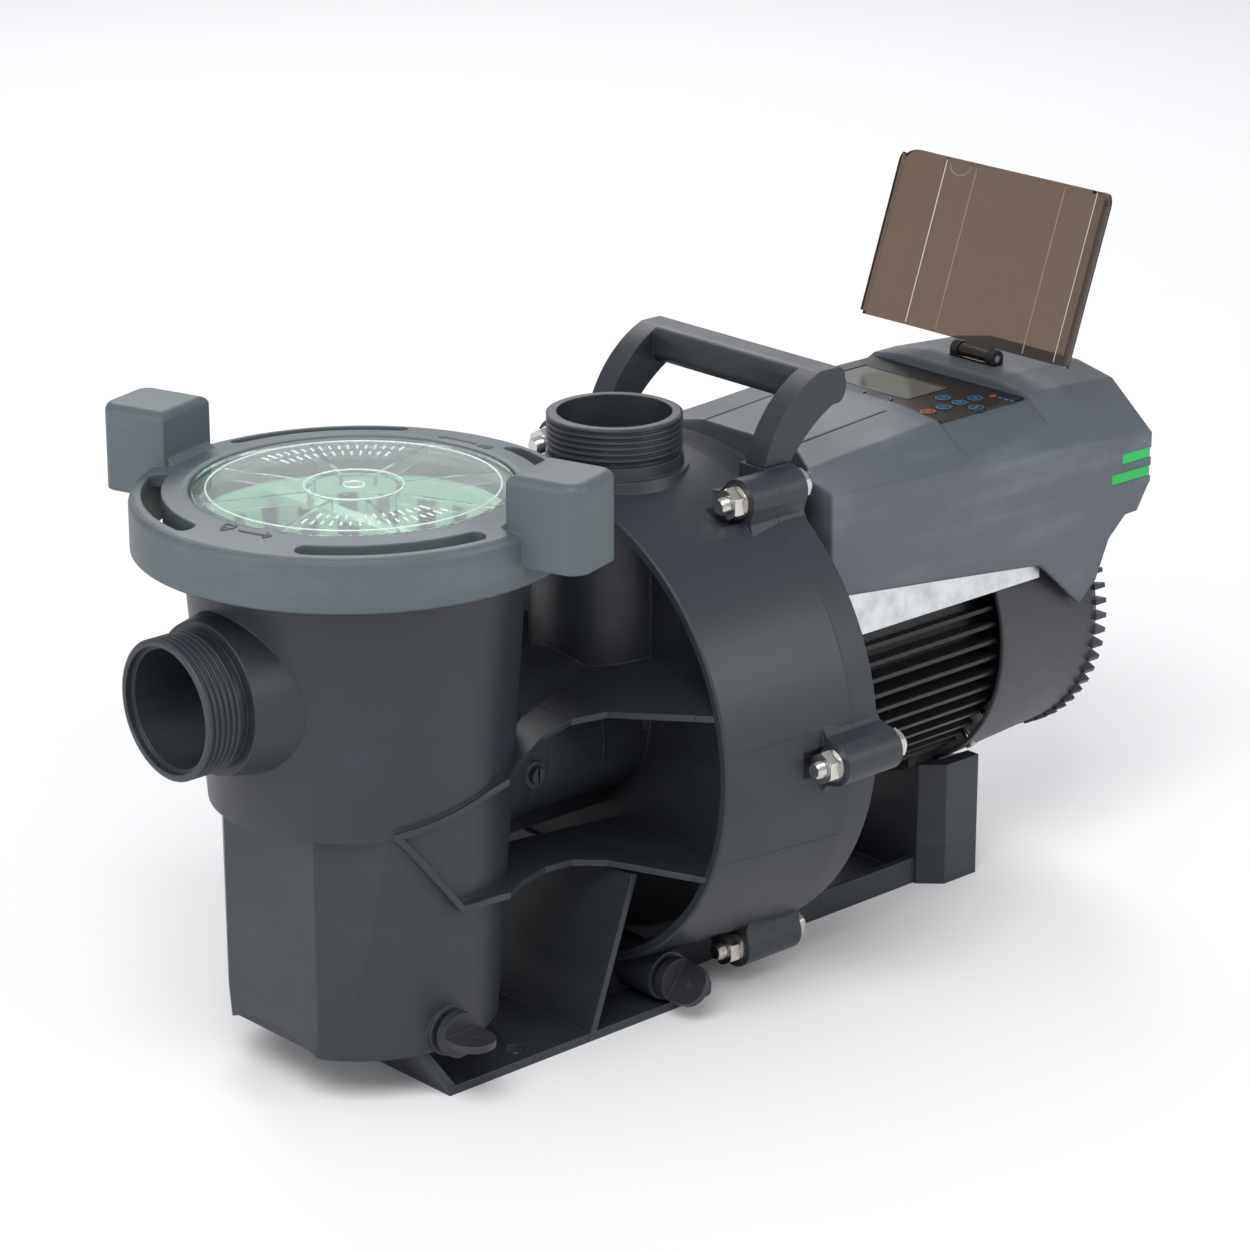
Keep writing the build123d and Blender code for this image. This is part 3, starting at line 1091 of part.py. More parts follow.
def make_circuit_board():
    """Inverter board with its capacitors and power module."""
    z = HEAT_SINK_Z1 + 4
    board = box(110, 250, -62, 62, z, z + 1.8)
    for y in (-36, 0, 36):
        board += rod_z(11, z + 1.8, z + 26, 138, y)
    board += box(170, 215, -28, 28, z + 1.8, z + 16)
    for y in (-40, 40):
        board += box(222, 246, y - 14, y + 14, z + 1.8, z + 18)
    for x in (116, 244):
        for y in (-56, 56):
            board += rod_z(3, HEAT_SINK_Z1, z, x, y)
    return board


# ---------------------------------------------------------------- control panel
def key_spots():
    """Key names and centres: a five-key cluster and a row of four along the front."""
    x, y = PAD_CENTRE
    p = PAD_PITCH
    spots = {"key_enter": (x, y), "key_up": (x + p, y), "key_down": (x - p, y),
             "key_left": (x, y + p), "key_right": (x, y - p)}
    names = ("key_stop", "key_speed_1", "key_speed_2", "key_speed_3")
    spots.update({name: (ROW_X, row_y) for name, row_y in zip(names, ROW_Y)})
    return spots


def make_control_panel():
    plate = box(PANEL_X0, PANEL_X1, -RECESS_HALF + 0.5, RECESS_HALF - 0.5, RECESS_Z, RECESS_Z + PANEL_THICK)
    plate -= box(*WINDOW_X, *WINDOW_Y, RECESS_Z + 0.6, RECESS_Z + 5)
    for x, y in key_spots().values():
        plate -= rod_z(KEY_R + GAP, RECESS_Z - 1, RECESS_Z + 5, x, y)
    return plate


def make_display_window():
    c = FIT
    return box(WINDOW_X[0] + c, WINDOW_X[1] - c, WINDOW_Y[0] + c, WINDOW_Y[1] - c, RECESS_Z + 0.6,
               RECESS_Z + PANEL_THICK - 0.1)


def make_key(x, y):
    z0 = RECESS_Z + KEY_TRAVEL + 0.2
    key = rod_z(KEY_R, z0, z0 + KEY_H, x, y)
    return fillet(key.edges().sort_by(Axis.Z)[-1], 0.4)


# ---------------------------------------------------------------- smoked cover
def make_panel_cover():
    """Smoked cover, drawn closed and turned back about its hinge to the open position."""
    x1 = HINGE_X - KNUCKLE_R - 1.2
    x0 = HINGE_X - COVER_LENGTH
    z0, z1 = HINGE_Z - COVER_THICK / 2, HINGE_Z + COVER_THICK / 2
    drop = (COVER_HALF - COVER_FLAT) * tan(radians(WING_SLOPE + 2))
    half = [(COVER_FLAT, z1), (COVER_HALF, z1 - drop), (COVER_HALF, z0 - drop - 0.4), (COVER_FLAT - 0.6, z0)]
    outline = half + [(-y, z) for y, z in reversed(half)]
    cover = plate_x(outline, x0, x1)
    rim = [(COVER_HALF - 1.8, z0 - drop), (COVER_HALF, z0 - drop + 0.6), (COVER_HALF, z0 - drop - 3),
           (COVER_HALF - 1.8, z0 - drop - 3)]
    for s in (-1, 1):
        cover += plate_x([(s * y, z) for y, z in rim], x0 + 3, x1 - 2)
    cover += box(x0, x0 + 1.8, -COVER_FLAT + 2, COVER_FLAT - 2, z0 - 3, z0 + 0.5)
    for s in (-1, 1):
        corner = box(x0 - 1, x0 + WING_ROUND, s * COVER_HALF - WING_ROUND, s * COVER_HALF + WING_ROUND, z0 - 30, z1 + 1)
        corner -= rod_z(WING_ROUND, z0 - 31, z1 + 2, x0 + WING_ROUND, s * (COVER_HALF - WING_ROUND))
        cover -= corner & box(x0 - 1, x0 + WING_ROUND, *sorted((s * (COVER_HALF - WING_ROUND), s * (COVER_HALF + 1))),
                              z0 - 30, z1 + 1)
    knuckle = rod_y(KNUCKLE_R, -KNUCKLE_HALF, KNUCKLE_HALF, HINGE_X, HINGE_Z)
    arm = box(x1 - 4, HINGE_X, -KNUCKLE_HALF, KNUCKLE_HALF, z0, z1)
    cover += knuckle + arm
    cover -= rod_y(PIN_R + FIT, -KNUCKLE_HALF - 1, KNUCKLE_HALF + 1, HINGE_X, HINGE_Z)
    return Pos(HINGE_X, 0, HINGE_Z) * Rot(0, COVER_OPEN, 0) * Pos(-HINGE_X, 0, -HINGE_Z) * cover


def make_cover_hinge_pin():
    reach = KNUCKLE_HALF + GAP + CLIP_EAR
    return rod_y(PIN_R, -reach, reach, HINGE_X, HINGE_Z)


def make_cover_hinge_clip():
    """Black clip set in the housing, with an ear at each end of the cover's knuckle."""
    inner, outer = KNUCKLE_HALF + GAP, KNUCKLE_HALF + GAP + CLIP_EAR
    clip = None
    for s in (-1, 1):
        y0, y1 = sorted((s * inner, s * outer))
        ear = rod_y(KNUCKLE_R + 0.8, y0, y1, HINGE_X, HINGE_Z)
        clip = ear if clip is None else clip + ear
    trough = rod_y(KNUCKLE_R + 1.55, -outer, outer, HINGE_X, HINGE_Z) \
        - rod_y(KNUCKLE_R + GAP, -outer - 1, outer + 1, HINGE_X, HINGE_Z)
    clip += trough & box(HINGE_X - 10, HINGE_X + 10, -outer, outer, HINGE_Z - 10, HINGE_Z - 2.6)
    return clip - rod_y(PIN_R, -outer - 1, outer + 1, HINGE_X, HINGE_Z)


# ---------------------------------------------------------------- build
moulding = make_pump_body()
front_bearing_x, rear_bearing_x = bearing_spots()
parts = {
    "strainer_pot": slice_x(moulding, INLET_X - 1, DUCT_X0),
    "suction_duct": slice_x(moulding, DUCT_X0, DUCT_X1),
    "volute_drum": slice_x(moulding, DUCT_X1, JOINT_X),
    "duct_plug": make_duct_plug(),
    "lock_ring": make_lock_ring(),
    "clear_lid": make_clear_lid(),
    "lid_o_ring": o_ring_z(LID_SEAL_R, LID_SEAL_D, POT_RIM_Z + GAP - LID_SEAL_D / 2),
    "strainer_basket": make_strainer_basket(),
    "pot_drain_plug": make_drain_plug(POT_DRAIN, 0),
    "pot_drain_o_ring": make_drain_seal(POT_DRAIN),
    "volute_drain_plug": make_drain_plug(VOLUTE_DRAIN, -52),
    "volute_drain_o_ring": make_drain_seal(VOLUTE_DRAIN),
    "diffuser": make_diffuser(),
    "diffuser_o_ring": o_ring_x(DUCT_BORE_R - DIFFUSER_SEAL_D / 2 - FIT, DIFFUSER_SEAL_D, DIFFUSER_X0 - 7),
    "impeller": make_impeller(),
    "impeller_screw": make_impeller_screw(),
    "seal_plate": make_seal_plate(),
    "housing_o_ring": o_ring_x(HOUSING_SEAL_R, HOUSING_SEAL_D, JOINT_X - 3.2),
    "seal_seat": make_seal_seat(),
    "seal_head": make_seal_head(),
    "seal_spring": make_seal_spring(),
    "flange_bolts": make_flange_bolts(),
    "flange_washers": make_flange_washers(),
    "flange_nuts": make_flange_nuts(),
    "motor_bolts": make_motor_bolts(),
    "carry_handle": make_carry_handle(),
    "motor_frame": make_motor_frame(),
    "front_end_shield": make_end_shield(FRAME_X0 - END_SHIELD, FRAME_X0, front_bearing_x, True),
    "rear_end_shield": make_end_shield(FRAME_X1, FRAME_X1 + END_SHIELD - 4, rear_bearing_x, False),
    "stator_core": make_stator_core(),
    "stator_windings": make_stator_windings(),
    "rotor_core": make_rotor_core(),
    "shaft": make_shaft(),
    "bearing_outer_rings": make_bearing_outer_rings(),
    "bearing_inner_rings": make_bearing_inner_rings(),
    "bearing_balls": make_bearing_balls(),
    "cooling_fan": make_cooling_fan(),
    "fan_cover": make_fan_cover(),
    "fan_cover_screws": make_fan_cover_screws(),
    "base": make_base(),
    "saddle_pad": make_saddle_pad(),
    "drive_housing": make_drive_housing(),
    "accent_strip": make_accent_strip(),
    "heat_sink": make_heat_sink(),
    "cable_glands": make_cable_glands(),
    "circuit_board": make_circuit_board(),
    "control_panel": make_control_panel(),
    "display_window": make_display_window(),
    "panel_cover": make_panel_cover(),
    "cover_hinge_pin": make_cover_hinge_pin(),
    "cover_hinge_clip": make_cover_hinge_clip(),
}
for key_name, (key_x, key_y) in key_spots().items():
    parts[key_name] = make_key(key_x, key_y)
for part_name, part_shape in parts.items():
    save(part_name, part_shape)
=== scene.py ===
"""Looks of a pool pump: moulded plastics, clear lid, smoked cover, keypad print and fasteners."""
import json
import math

import bpy
import numpy as np
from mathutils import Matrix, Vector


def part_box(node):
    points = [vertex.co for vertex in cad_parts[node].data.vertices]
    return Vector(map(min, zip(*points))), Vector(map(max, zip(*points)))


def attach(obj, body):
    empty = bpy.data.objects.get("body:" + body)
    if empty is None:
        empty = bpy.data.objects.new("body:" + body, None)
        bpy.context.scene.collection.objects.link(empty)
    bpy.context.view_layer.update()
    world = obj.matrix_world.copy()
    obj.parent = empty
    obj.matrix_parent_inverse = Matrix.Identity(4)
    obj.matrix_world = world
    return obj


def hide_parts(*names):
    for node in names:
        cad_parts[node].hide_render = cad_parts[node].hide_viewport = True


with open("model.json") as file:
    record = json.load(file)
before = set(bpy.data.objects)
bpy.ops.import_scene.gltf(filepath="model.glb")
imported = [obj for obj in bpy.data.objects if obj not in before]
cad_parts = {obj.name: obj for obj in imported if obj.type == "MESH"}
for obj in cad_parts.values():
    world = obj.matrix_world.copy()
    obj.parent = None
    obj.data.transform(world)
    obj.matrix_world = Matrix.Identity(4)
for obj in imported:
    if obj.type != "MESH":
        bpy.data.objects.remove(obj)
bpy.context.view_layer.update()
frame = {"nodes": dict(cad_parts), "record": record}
nodes = frame["nodes"]
MM = 0.001
TAU = 2.0 * math.pi
CREASE = math.radians(38.0)      # edges that turn more than this stay sharp
LENS_MM = 122.49
CAMERA_PLACE = (-1.5058, -1.6466, 0.9921)
CAMERA_TARGET = (0.00785, 0.0, 0.19965)
AHEAD = np.array([0.6765, 0.7365])      # flat direction in which the floor runs back from the camera


# ---------------------------------------------------------------- camera, floor and light
def aim(obj, target):
    """Turn an object so that its -Z axis points at the target and its +Y axis stays up."""
    away = obj.location - Vector(target)
    obj.rotation_mode = "QUATERNION"
    obj.rotation_quaternion = (-away).to_track_quat("-Z", "Y")


def make_camera():
    data = bpy.data.cameras.new("camera")
    data.lens = LENS_MM
    data.sensor_width = 36.0
    data.clip_start = 0.1
    data.clip_end = 30.0
    camera = bpy.data.objects.new("camera", data)
    bpy.context.scene.collection.objects.link(camera)
    camera.location = CAMERA_PLACE
    aim(camera, CAMERA_TARGET)
    bpy.context.scene.camera = camera


def soft_light(name, place, target, size, power, tint=(1.0, 1.0, 1.0)):
    data = bpy.data.lights.new(name, "AREA")
    data.shape = "RECTANGLE"
    data.size, data.size_y = size
    data.energy = power
    data.color = tint
    lamp = bpy.data.objects.new(name, data)
    lamp.location = place
    bpy.context.scene.collection.objects.link(lamp)
    aim(lamp, target)


def make_studio():
    """One swept strip behind the pump: a flat floor, then a quarter circle, then a wall; and the lights."""
    radius, near, far, wall_top, half_width = 1.6, -7.0, 3.0, 6.0, 9.0
    turn = np.linspace(0.0, math.pi / 2, 24)
    along = np.concatenate([[near], far + radius * np.sin(turn), [far + radius]])
    up = np.concatenate([[0.0], radius * (1.0 - np.cos(turn)), [wall_top]])
    side = np.linspace(-half_width, half_width, 9)
    cross = np.array([-AHEAD[1], AHEAD[0]])
    x = along[:, None] * AHEAD[0] + side[None, :] * cross[0]
    y = along[:, None] * AHEAD[1] + side[None, :] * cross[1]
    z = np.repeat(up[:, None], len(side), axis=1)
    floor = grid_piece("studio_floor", np.stack([x, y, z], axis=-1), STUDIO)
    soft_light("key_light", (-1.6, -1.1, 2.6), (0.0, 0.0, 0.15), (1.8, 1.8), 62.0)
    soft_light("side_light", (1.2, -2.6, 1.3), (0.05, 0.0, 0.15), (1.6, 1.2), 30.0)
    soft_light("front_light", (-3.0, 0.4, 0.8), (-0.2, 0.0, 0.15), (1.2, 1.6), 24.0)
    soft_light("back_light", (1.4, 2.2, 2.2), (0.1, 0.0, 0.2), (1.8, 1.2), 34.0)
    world = bpy.data.worlds.new("studio_air")
    world.use_nodes = True
    air = world.node_tree.nodes["Background"].inputs
    air["Color"].default_value = (0.93, 0.95, 1.0, 1.0)
    air["Strength"].default_value = 0.55
    bpy.context.scene.world = world
    bpy.context.scene.view_settings.view_transform = "Standard"


# ---------------------------------------------------------------- surfaces
def node_centre(name):
    low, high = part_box(name)
    return 0.5 * (np.array(low) + np.array(high))


def mesh_piece(name, points, faces, material):
    mesh = bpy.data.meshes.new(name)
    mesh.from_pydata(points.reshape(-1, 3), [], faces)
    mesh.materials.append(material)
    mesh.polygons.foreach_set("use_smooth", np.full(len(mesh.polygons), True))
    mesh.set_sharp_from_angle(angle=CREASE)
    mesh.update()
    piece = bpy.data.objects.new(name, mesh)
    bpy.context.scene.collection.objects.link(piece)
    return piece


def grid_faces(rows, columns, wrap_rows=False, wrap_columns=False, start=0):
    """Quads between neighbours of a rows by columns grid; a wrapped direction closes on itself."""
    i = np.arange(rows if wrap_rows else rows - 1)[:, None]
    j = np.arange(columns if wrap_columns else columns - 1)[None, :]
    i2, j2 = (i + 1) % rows, (j + 1) % columns
    quads = np.stack([i * columns + j, i * columns + j2, i2 * columns + j2, i2 * columns + j], axis=-1)
    return (quads.reshape(-1, 4) + start).tolist()


def grid_piece(name, points, material):
    rows, columns = points.shape[:2]
    return mesh_piece(name, points, grid_faces(rows, columns), material)


def tube_faces(points, looped, start):
    """Outward faces of a tube given as rings of points; its ends are closed unless it is looped."""
    rings, around = points.shape[:2]
    faces = grid_faces(rings, around, looped, True, start)
    if not looped:
        faces.append([start + j for j in reversed(range(around))])
        faces.append([start + (rings - 1) * around + j for j in range(around)])
    here, right, ahead = points[:-1, :], np.roll(points, -1, axis=1)[:-1], points[1:, :]
    facing = np.cross(right - here, ahead - here)
    outward = here - here.mean(axis=1, keepdims=True)
    if np.sum(facing * outward) < 0.0:
        faces = [face[::-1] for face in faces]
    return faces


def tubes_piece(name, tubes, material, looped=False):
    """One piece of several separate tubes; each tube is an array of rings by points round the ring."""
    faces, start = [], 0
    for points in tubes:
        faces += tube_faces(points, looped, start)
        start += points.shape[0] * points.shape[1]
    every_point = np.concatenate([points.reshape(-1, 3) for points in tubes])
    return mesh_piece(name, every_point, faces, material)


def bead(path, up, half_width, height, looped=False, sink=0.15 * MM):
    """A raised strip along a path: a flattened half ellipse on top, and a foot let in by the sink."""
    path = np.asarray(path, dtype=float)
    up = np.broadcast_to(np.asarray(up, dtype=float), path.shape)
    if looped:
        ahead = np.roll(path, -1, axis=0) - np.roll(path, 1, axis=0)
    else:
        ahead = np.gradient(path, axis=0)
    ahead = ahead / np.linalg.norm(ahead, axis=1, keepdims=True)
    across = np.cross(ahead, up)
    turn = np.linspace(0.0, math.pi, 7)
    side = np.concatenate([np.cos(turn), [-1.0, 1.0]])
    lift = np.concatenate([height * np.abs(np.sin(turn)) ** 0.6, [-sink, -sink]])
    sideways = half_width * side[None, :, None] * across[:, None]
    return path[:, None] + sideways + lift[None, :, None] * up[:, None]


def stroke(corners, looped=False, steps=5):
    """Points at even shares along the straight runs between corners."""
    corners = np.asarray(corners, dtype=float)
    ends = np.roll(corners, -1, axis=0) if looped else corners[1:]
    starts = corners if looped else corners[:-1]
    share = np.arange(steps)[None, :, None] / steps
    runs = (starts[:, None] * (1.0 - share) + ends[:, None] * share).reshape(-1, corners.shape[1])
    return runs if looped else np.concatenate([runs, corners[-1:]])


def ring_path(radius, count=48):
    """Flat points round a circle."""
    turn = np.linspace(0.0, TAU, count, endpoint=False)
    return np.stack([radius * np.cos(turn), radius * np.sin(turn)], axis=-1)


def on_plane(flat, centre, z):
    """Flat points moved to a centre and lifted to a height."""
    flat = np.asarray(flat, dtype=float)
    return np.column_stack([flat[:, 0] + centre[0], flat[:, 1] + centre[1], np.full(len(flat), z)])


# ---------------------------------------------------------------- shader helpers
def new_material(name):
    material = bpy.data.materials.new(name)
    material.use_nodes = True
    tree = material.node_tree
    tree.nodes.clear()
    out = tree.nodes.new("ShaderNodeOutputMaterial")
    shader = tree.nodes.new("ShaderNodeBsdfPrincipled")
    tree.links.new(shader.outputs["BSDF"], out.inputs["Surface"])
    return material, tree, shader


def put(tree, kind, values=None, **settings):
    """Add a node, set its named settings, then its inputs: a plain value is stored, a socket is linked."""
    node = tree.nodes.new(kind)
    for key, value in settings.items():
        setattr(node, key, value)
    for key, value in (values or {}).items():
        if isinstance(value, bpy.types.NodeSocket):
            tree.links.new(value, node.inputs[key])
        else:
            node.inputs[key].default_value = value
    return node


def place_group(tree, group, values):
    """Add a node that holds a group; its settings go first, because they make its inputs."""
    return put(tree, "ShaderNodeGroup", values, node_tree=group)


def reckon(tree, operation, *values, clamp=False):
    """Output of a Math node over plain values and sockets."""
    node = put(tree, "ShaderNodeMath", dict(enumerate(values)), operation=operation, use_clamp=clamp)
    return node.outputs[0]


def noise(tree, where, scale, detail, roughness=0.5):
    """Value of a Noise Texture at a place."""
    values = {"Vector": where, "Scale": scale, "Detail": detail, "Roughness": roughness}
    return put(tree, "ShaderNodeTexNoise", values).outputs["Fac"]


def spread(tree, value, low, high, to_low=0.0, to_high=1.0):
    """A value carried from one range to another and held inside it."""
    values = {"Value": value, "From Min": low, "From Max": high, "To Min": to_low, "To Max": to_high}
    return put(tree, "ShaderNodeMapRange", values).outputs["Result"]


def mix_colours(tree, factor, first, second):
    return put(tree, "ShaderNodeMix", {0: factor, 6: first, 7: second}, data_type="RGBA").outputs[2]


def new_group(name, inputs, outputs):
    """An empty shader node group with typed sockets, its input node and its output node."""
    group = bpy.data.node_groups.new(name, "ShaderNodeTree")
    for label, kind, value in inputs:
        socket = group.interface.new_socket(label, in_out="INPUT", socket_type=kind)
        socket.default_value = value
    for label, kind in outputs:
        group.interface.new_socket(label, in_out="OUTPUT", socket_type=kind)
    return group, group.nodes.new("NodeGroupInput"), group.nodes.new("NodeGroupOutput")


def srgb(r, g, b):
    """Linear colour of an 8 bit display colour."""
    levels = np.array([r, g, b]) / 255.0
    low = levels / 12.92
    high = ((levels + 0.055) / 1.055) ** 2.4
    return tuple(np.where(levels <= 0.04045, low, high)) + (1.0,)


FLOAT, COLOUR, VECTOR = "NodeSocketFloat", "NodeSocketColor", "NodeSocketVector"


def build_moulded_group():
    """Moulded plastic: spark-eroded grain, cloudy shade, flow streaks, and pale edges that are partly rubbed
    wear and partly a painted edge highlight.
    """
    dark, pale = (0.1, 0.1, 0.1, 1.0), (0.2, 0.2, 0.2, 1.0)
    group, source, sink = new_group(
        "moulded_plastic",
        [("Shade", COLOUR, dark), ("Pale", COLOUR, pale), ("Cloud", FLOAT, 0.1), ("Grain", FLOAT, 0.2),
         ("Roughness", FLOAT, 0.5), ("Edge", FLOAT, 0.3), ("Round", FLOAT, 0.0008)],
        [("Color", COLOUR), ("Roughness", FLOAT), ("Normal", VECTOR)])
    given = source.outputs
    where = put(group, "ShaderNodeTexCoord").outputs["Object"]
    cloud = noise(group, where, 14.0, 4.0, 0.6)
    flow = {"Vector": where, "Scale": (3.0, 9.0, 60.0), "Rotation": (0.3, 0.2, 0.5)}
    streak = noise(group, put(group, "ShaderNodeMapping", flow).outputs["Vector"], 1.4, 3.0)
    shading = spread(group, reckon(group, "MULTIPLY", cloud, streak), 0.12, 0.42, -1.0, 1.0)
    shading = reckon(group, "MULTIPLY", shading, given["Cloud"])
    rounded = put(group, "ShaderNodeBevel", {"Radius": given["Round"]}, samples=6).outputs["Normal"]
    flat = put(group, "ShaderNodeNewGeometry").outputs["Normal"]
    same = put(group, "ShaderNodeVectorMath", {0: rounded, 1: flat}, operation="DOT_PRODUCT").outputs["Value"]
    # Paler where the rounded normal leaves the flat one: a painted edge highlight, broken up by noise like
    # rubbed wear.
    edge_wear_and_highlight = reckon(group, "MULTIPLY", spread(group, same, 0.985, 0.8), noise(group, where, 90.0, 3.0))
    edge_wear_and_highlight = reckon(group, "MULTIPLY", edge_wear_and_highlight, given["Edge"])
    level = reckon(group, "ADD", edge_wear_and_highlight, shading, clamp=True)
    group.links.new(mix_colours(group, level, given["Shade"], given["Pale"]), sink.inputs["Color"])
    coarse, fine = noise(group, where, 260.0, 2.0), noise(group, where, 1500.0, 2.0)
    height = reckon(group, "MULTIPLY_ADD", coarse, 0.35, fine)
    bump = put(group, "ShaderNodeBump",
               {"Strength": given["Grain"], "Distance": 0.0003, "Height": height, "Normal": rounded})
    group.links.new(bump.outputs["Normal"], sink.inputs["Normal"])
    smear = reckon(group, "MULTIPLY_ADD", cloud, -0.16, given["Roughness"])
    group.links.new(reckon(group, "ADD", smear, 0.08), sink.inputs["Roughness"])
    return group


def build_metal_group():
    """Bare metal: stained patches, and fine lines whose spacing follows the Lines scale."""
    clean, stain = (0.6, 0.6, 0.6, 1.0), (0.4, 0.3, 0.2, 1.0)
    group, source, sink = new_group(
        "bare_metal",
        [("Shade", COLOUR, clean), ("Stain", COLOUR, stain), ("Stained", FLOAT, 0.3),
         ("Roughness", FLOAT, 0.3), ("Lines", VECTOR, (1.0, 1.0, 1.0)), ("Depth", FLOAT, 0.2)],
        [("Color", COLOUR), ("Roughness", FLOAT), ("Normal", VECTOR)])
    given = source.outputs
    where = put(group, "ShaderNodeTexCoord").outputs["Object"]
    blotch = noise(group, where, 70.0, 5.0, 0.65)
    mask = reckon(group, "MULTIPLY", spread(group, blotch, 0.42, 0.72), given["Stained"])
    group.links.new(mix_colours(group, mask, given["Shade"], given["Stain"]), sink.inputs["Color"])
    lined = put(group, "ShaderNodeVectorMath", {0: where, 1: given["Lines"]}, operation="MULTIPLY").outputs[0]
    bump = put(group, "ShaderNodeBump",
               {"Strength": given["Depth"], "Distance": 0.0002, "Height": noise(group, lined, 1.0, 3.0)})
    group.links.new(bump.outputs["Normal"], sink.inputs["Normal"])
    rough = reckon(group, "MULTIPLY_ADD", blotch, 0.25, given["Roughness"])
    group.links.new(reckon(group, "ADD", rough, -0.1), sink.inputs["Roughness"])
    return group


MOULDED = build_moulded_group()
METAL = build_metal_group()
ACRYLIC_IOR = 1.49


def dress(tree, shader, group, values):
    """Feed a shader's colour, roughness and normal from a placed group."""
    look = place_group(tree, group, values)
    for output, target in (("Color", "Base Color"), ("Roughness", "Roughness"), ("Normal", "Normal")):
        tree.links.new(look.outputs[output], shader.inputs[target])


def moulded(name, shade, pale, roughness=0.5, cloud=0.1, grain=0.2, edge=0.35, round_mm=0.8):
    material, tree, shader = new_material(name)
    dress(tree, shader, MOULDED, {"Shade": srgb(*shade), "Pale": srgb(*pale), "Cloud": cloud, "Grain": grain,
                                  "Roughness": roughness, "Edge": edge, "Round": round_mm * MM})
    shader.inputs["Specular IOR Level"].default_value = 0.42
    return material


def metal(name, shade, stain, roughness=0.3, stained=0.3, lines=(900.0, 900.0, 900.0), depth=0.2):
    material, tree, shader = new_material(name)
    dress(tree, shader, METAL, {"Shade": srgb(*shade), "Stain": srgb(*stain), "Stained": stained,
                                "Roughness": roughness, "Lines": lines, "Depth": depth})
    shader.inputs["Metallic"].default_value = 1.0
    return material


def clear_plastic(name, tint, roughness, scuff, milk=0.0):
    """Clear moulding: transmission with a share of milky scatter and fine scuffs; its shadow is a tint."""
    material, tree, shader = new_material(name)
    where = put(tree, "ShaderNodeTexCoord").outputs["Object"]
    scuffed = spread(tree, noise(tree, where, 160.0, 4.0, 0.7), 0.4, 0.75, roughness, roughness + scuff)
    tree.links.new(scuffed, shader.inputs["Roughness"])
    bump = put(tree, "ShaderNodeBump",
               {"Strength": 0.12, "Distance": 0.001, "Height": noise(tree, where, 22.0, 1.0)})
    tree.links.new(bump.outputs["Normal"], shader.inputs["Normal"])
    shader.inputs["Base Color"].default_value = srgb(*tint)
    shader.inputs["Transmission Weight"].default_value = 1.0 - milk
    shader.inputs["IOR"].default_value = ACRYLIC_IOR
    see_through = put(tree, "ShaderNodeBsdfTransparent", {"Color": srgb(*tint)}).outputs["BSDF"]
    shadow = put(tree, "ShaderNodeLightPath").outputs["Is Shadow Ray"]
    mixed = put(tree, "ShaderNodeMixShader", {0: shadow, 1: shader.outputs["BSDF"], 2: see_through})
    out = next(node for node in tree.nodes if node.type == "OUTPUT_MATERIAL")
    tree.links.new(mixed.outputs["Shader"], out.inputs["Surface"])
    return material


def printed(name, shade, roughness=0.4):
    """Printed ink: one colour with a faint mottled coverage."""
    material, tree, shader = new_material(name)
    where = put(tree, "ShaderNodeTexCoord").outputs["Object"]
    full = srgb(*shade)
    thin = tuple(0.8 * level for level in full[:3]) + (1.0,)
    tone = mix_colours(tree, noise(tree, where, 1800.0, 2.0), full, thin)
    tree.links.new(tone, shader.inputs["Base Color"])
    shader.inputs["Roughness"].default_value = roughness
    return material


STUDIO = bpy.data.materials.new("studio_paper")
STUDIO.use_nodes = True
PAPER = STUDIO.node_tree.nodes["Principled BSDF"].inputs
PAPER["Base Color"].default_value = (0.86, 0.86, 0.86, 1.0)
PAPER["Roughness"].default_value = 0.9

CHARCOAL = moulded("charcoal_moulding", (40, 44, 50), (80, 87, 96), 0.42, 0.10, 0.22, 0.35, 1.2)
COVER_GREY = moulded("fan_cover_moulding", (50, 52, 56), (88, 91, 97), 0.46, 0.12, 0.3)
RING_GREY = moulded("ring_moulding", (76, 85, 89), (122, 132, 137), 0.46, 0.14, 0.28, 0.35, 1.6)
DRIVE_GREY = moulded("drive_moulding", (78, 84, 90), (112, 118, 125), 0.44, 0.4, 0.3, 0.35, 4.0)
PLUG_BLACK = moulded("plug_moulding", (42, 44, 48), (84, 86, 92), 0.42, 0.1, 0.15)
INNER_BLACK = moulded("inner_moulding", (36, 37, 39), (70, 70, 74), 0.45, 0.1, 0.2)
FASCIA_BLACK = moulded("fascia_moulding", (18, 19, 21), (52, 54, 58), 0.28, 0.06, 0.08, 0.3, 0.4)
ACCENT_GREEN = moulded("accent_moulding", (26, 168, 74), (90, 205, 120), 0.3, 0.1, 0.05, 0.3, 0.4)
BASKET_GREEN = moulded("basket_moulding", (138, 188, 156), (206, 226, 214), 0.4, 0.45, 0.1)
RUBBER = moulded("black_rubber", (20, 20, 21), (48, 48, 50), 0.72, 0.1, 0.3)
MOTOR_BLACK = moulded("motor_paint", (26, 27, 29), (78, 80, 84), 0.34, 0.1, 0.12, 0.5, 0.5)
BOARD_GREEN = moulded("solder_mask", (20, 92, 48), (60, 130, 84), 0.35, 0.15, 0.05)
SEAL_WHITE = moulded("seal_ceramic", (232, 229, 220), (245, 244, 240), 0.2, 0.05, 0.02)
STAINLESS = metal("stainless_steel", (204, 202, 198), (172, 154, 132), 0.22, 0.4)
RAW_ALUMINIUM = metal("raw_aluminium", (214, 216, 218), (160, 160, 158), 0.34, 0.6,
                      lines=(60.0, 1400.0, 60.0), depth=0.25)
CORE_STEEL = metal("core_laminations", (120, 120, 124), (80, 70, 60), 0.4, 0.4,
                   lines=(2600.0, 40.0, 40.0), depth=0.5)
COPPER = metal("winding_copper", (184, 106, 62), (120, 60, 34), 0.36, 0.4,
               lines=(1800.0, 500.0, 500.0), depth=0.4)
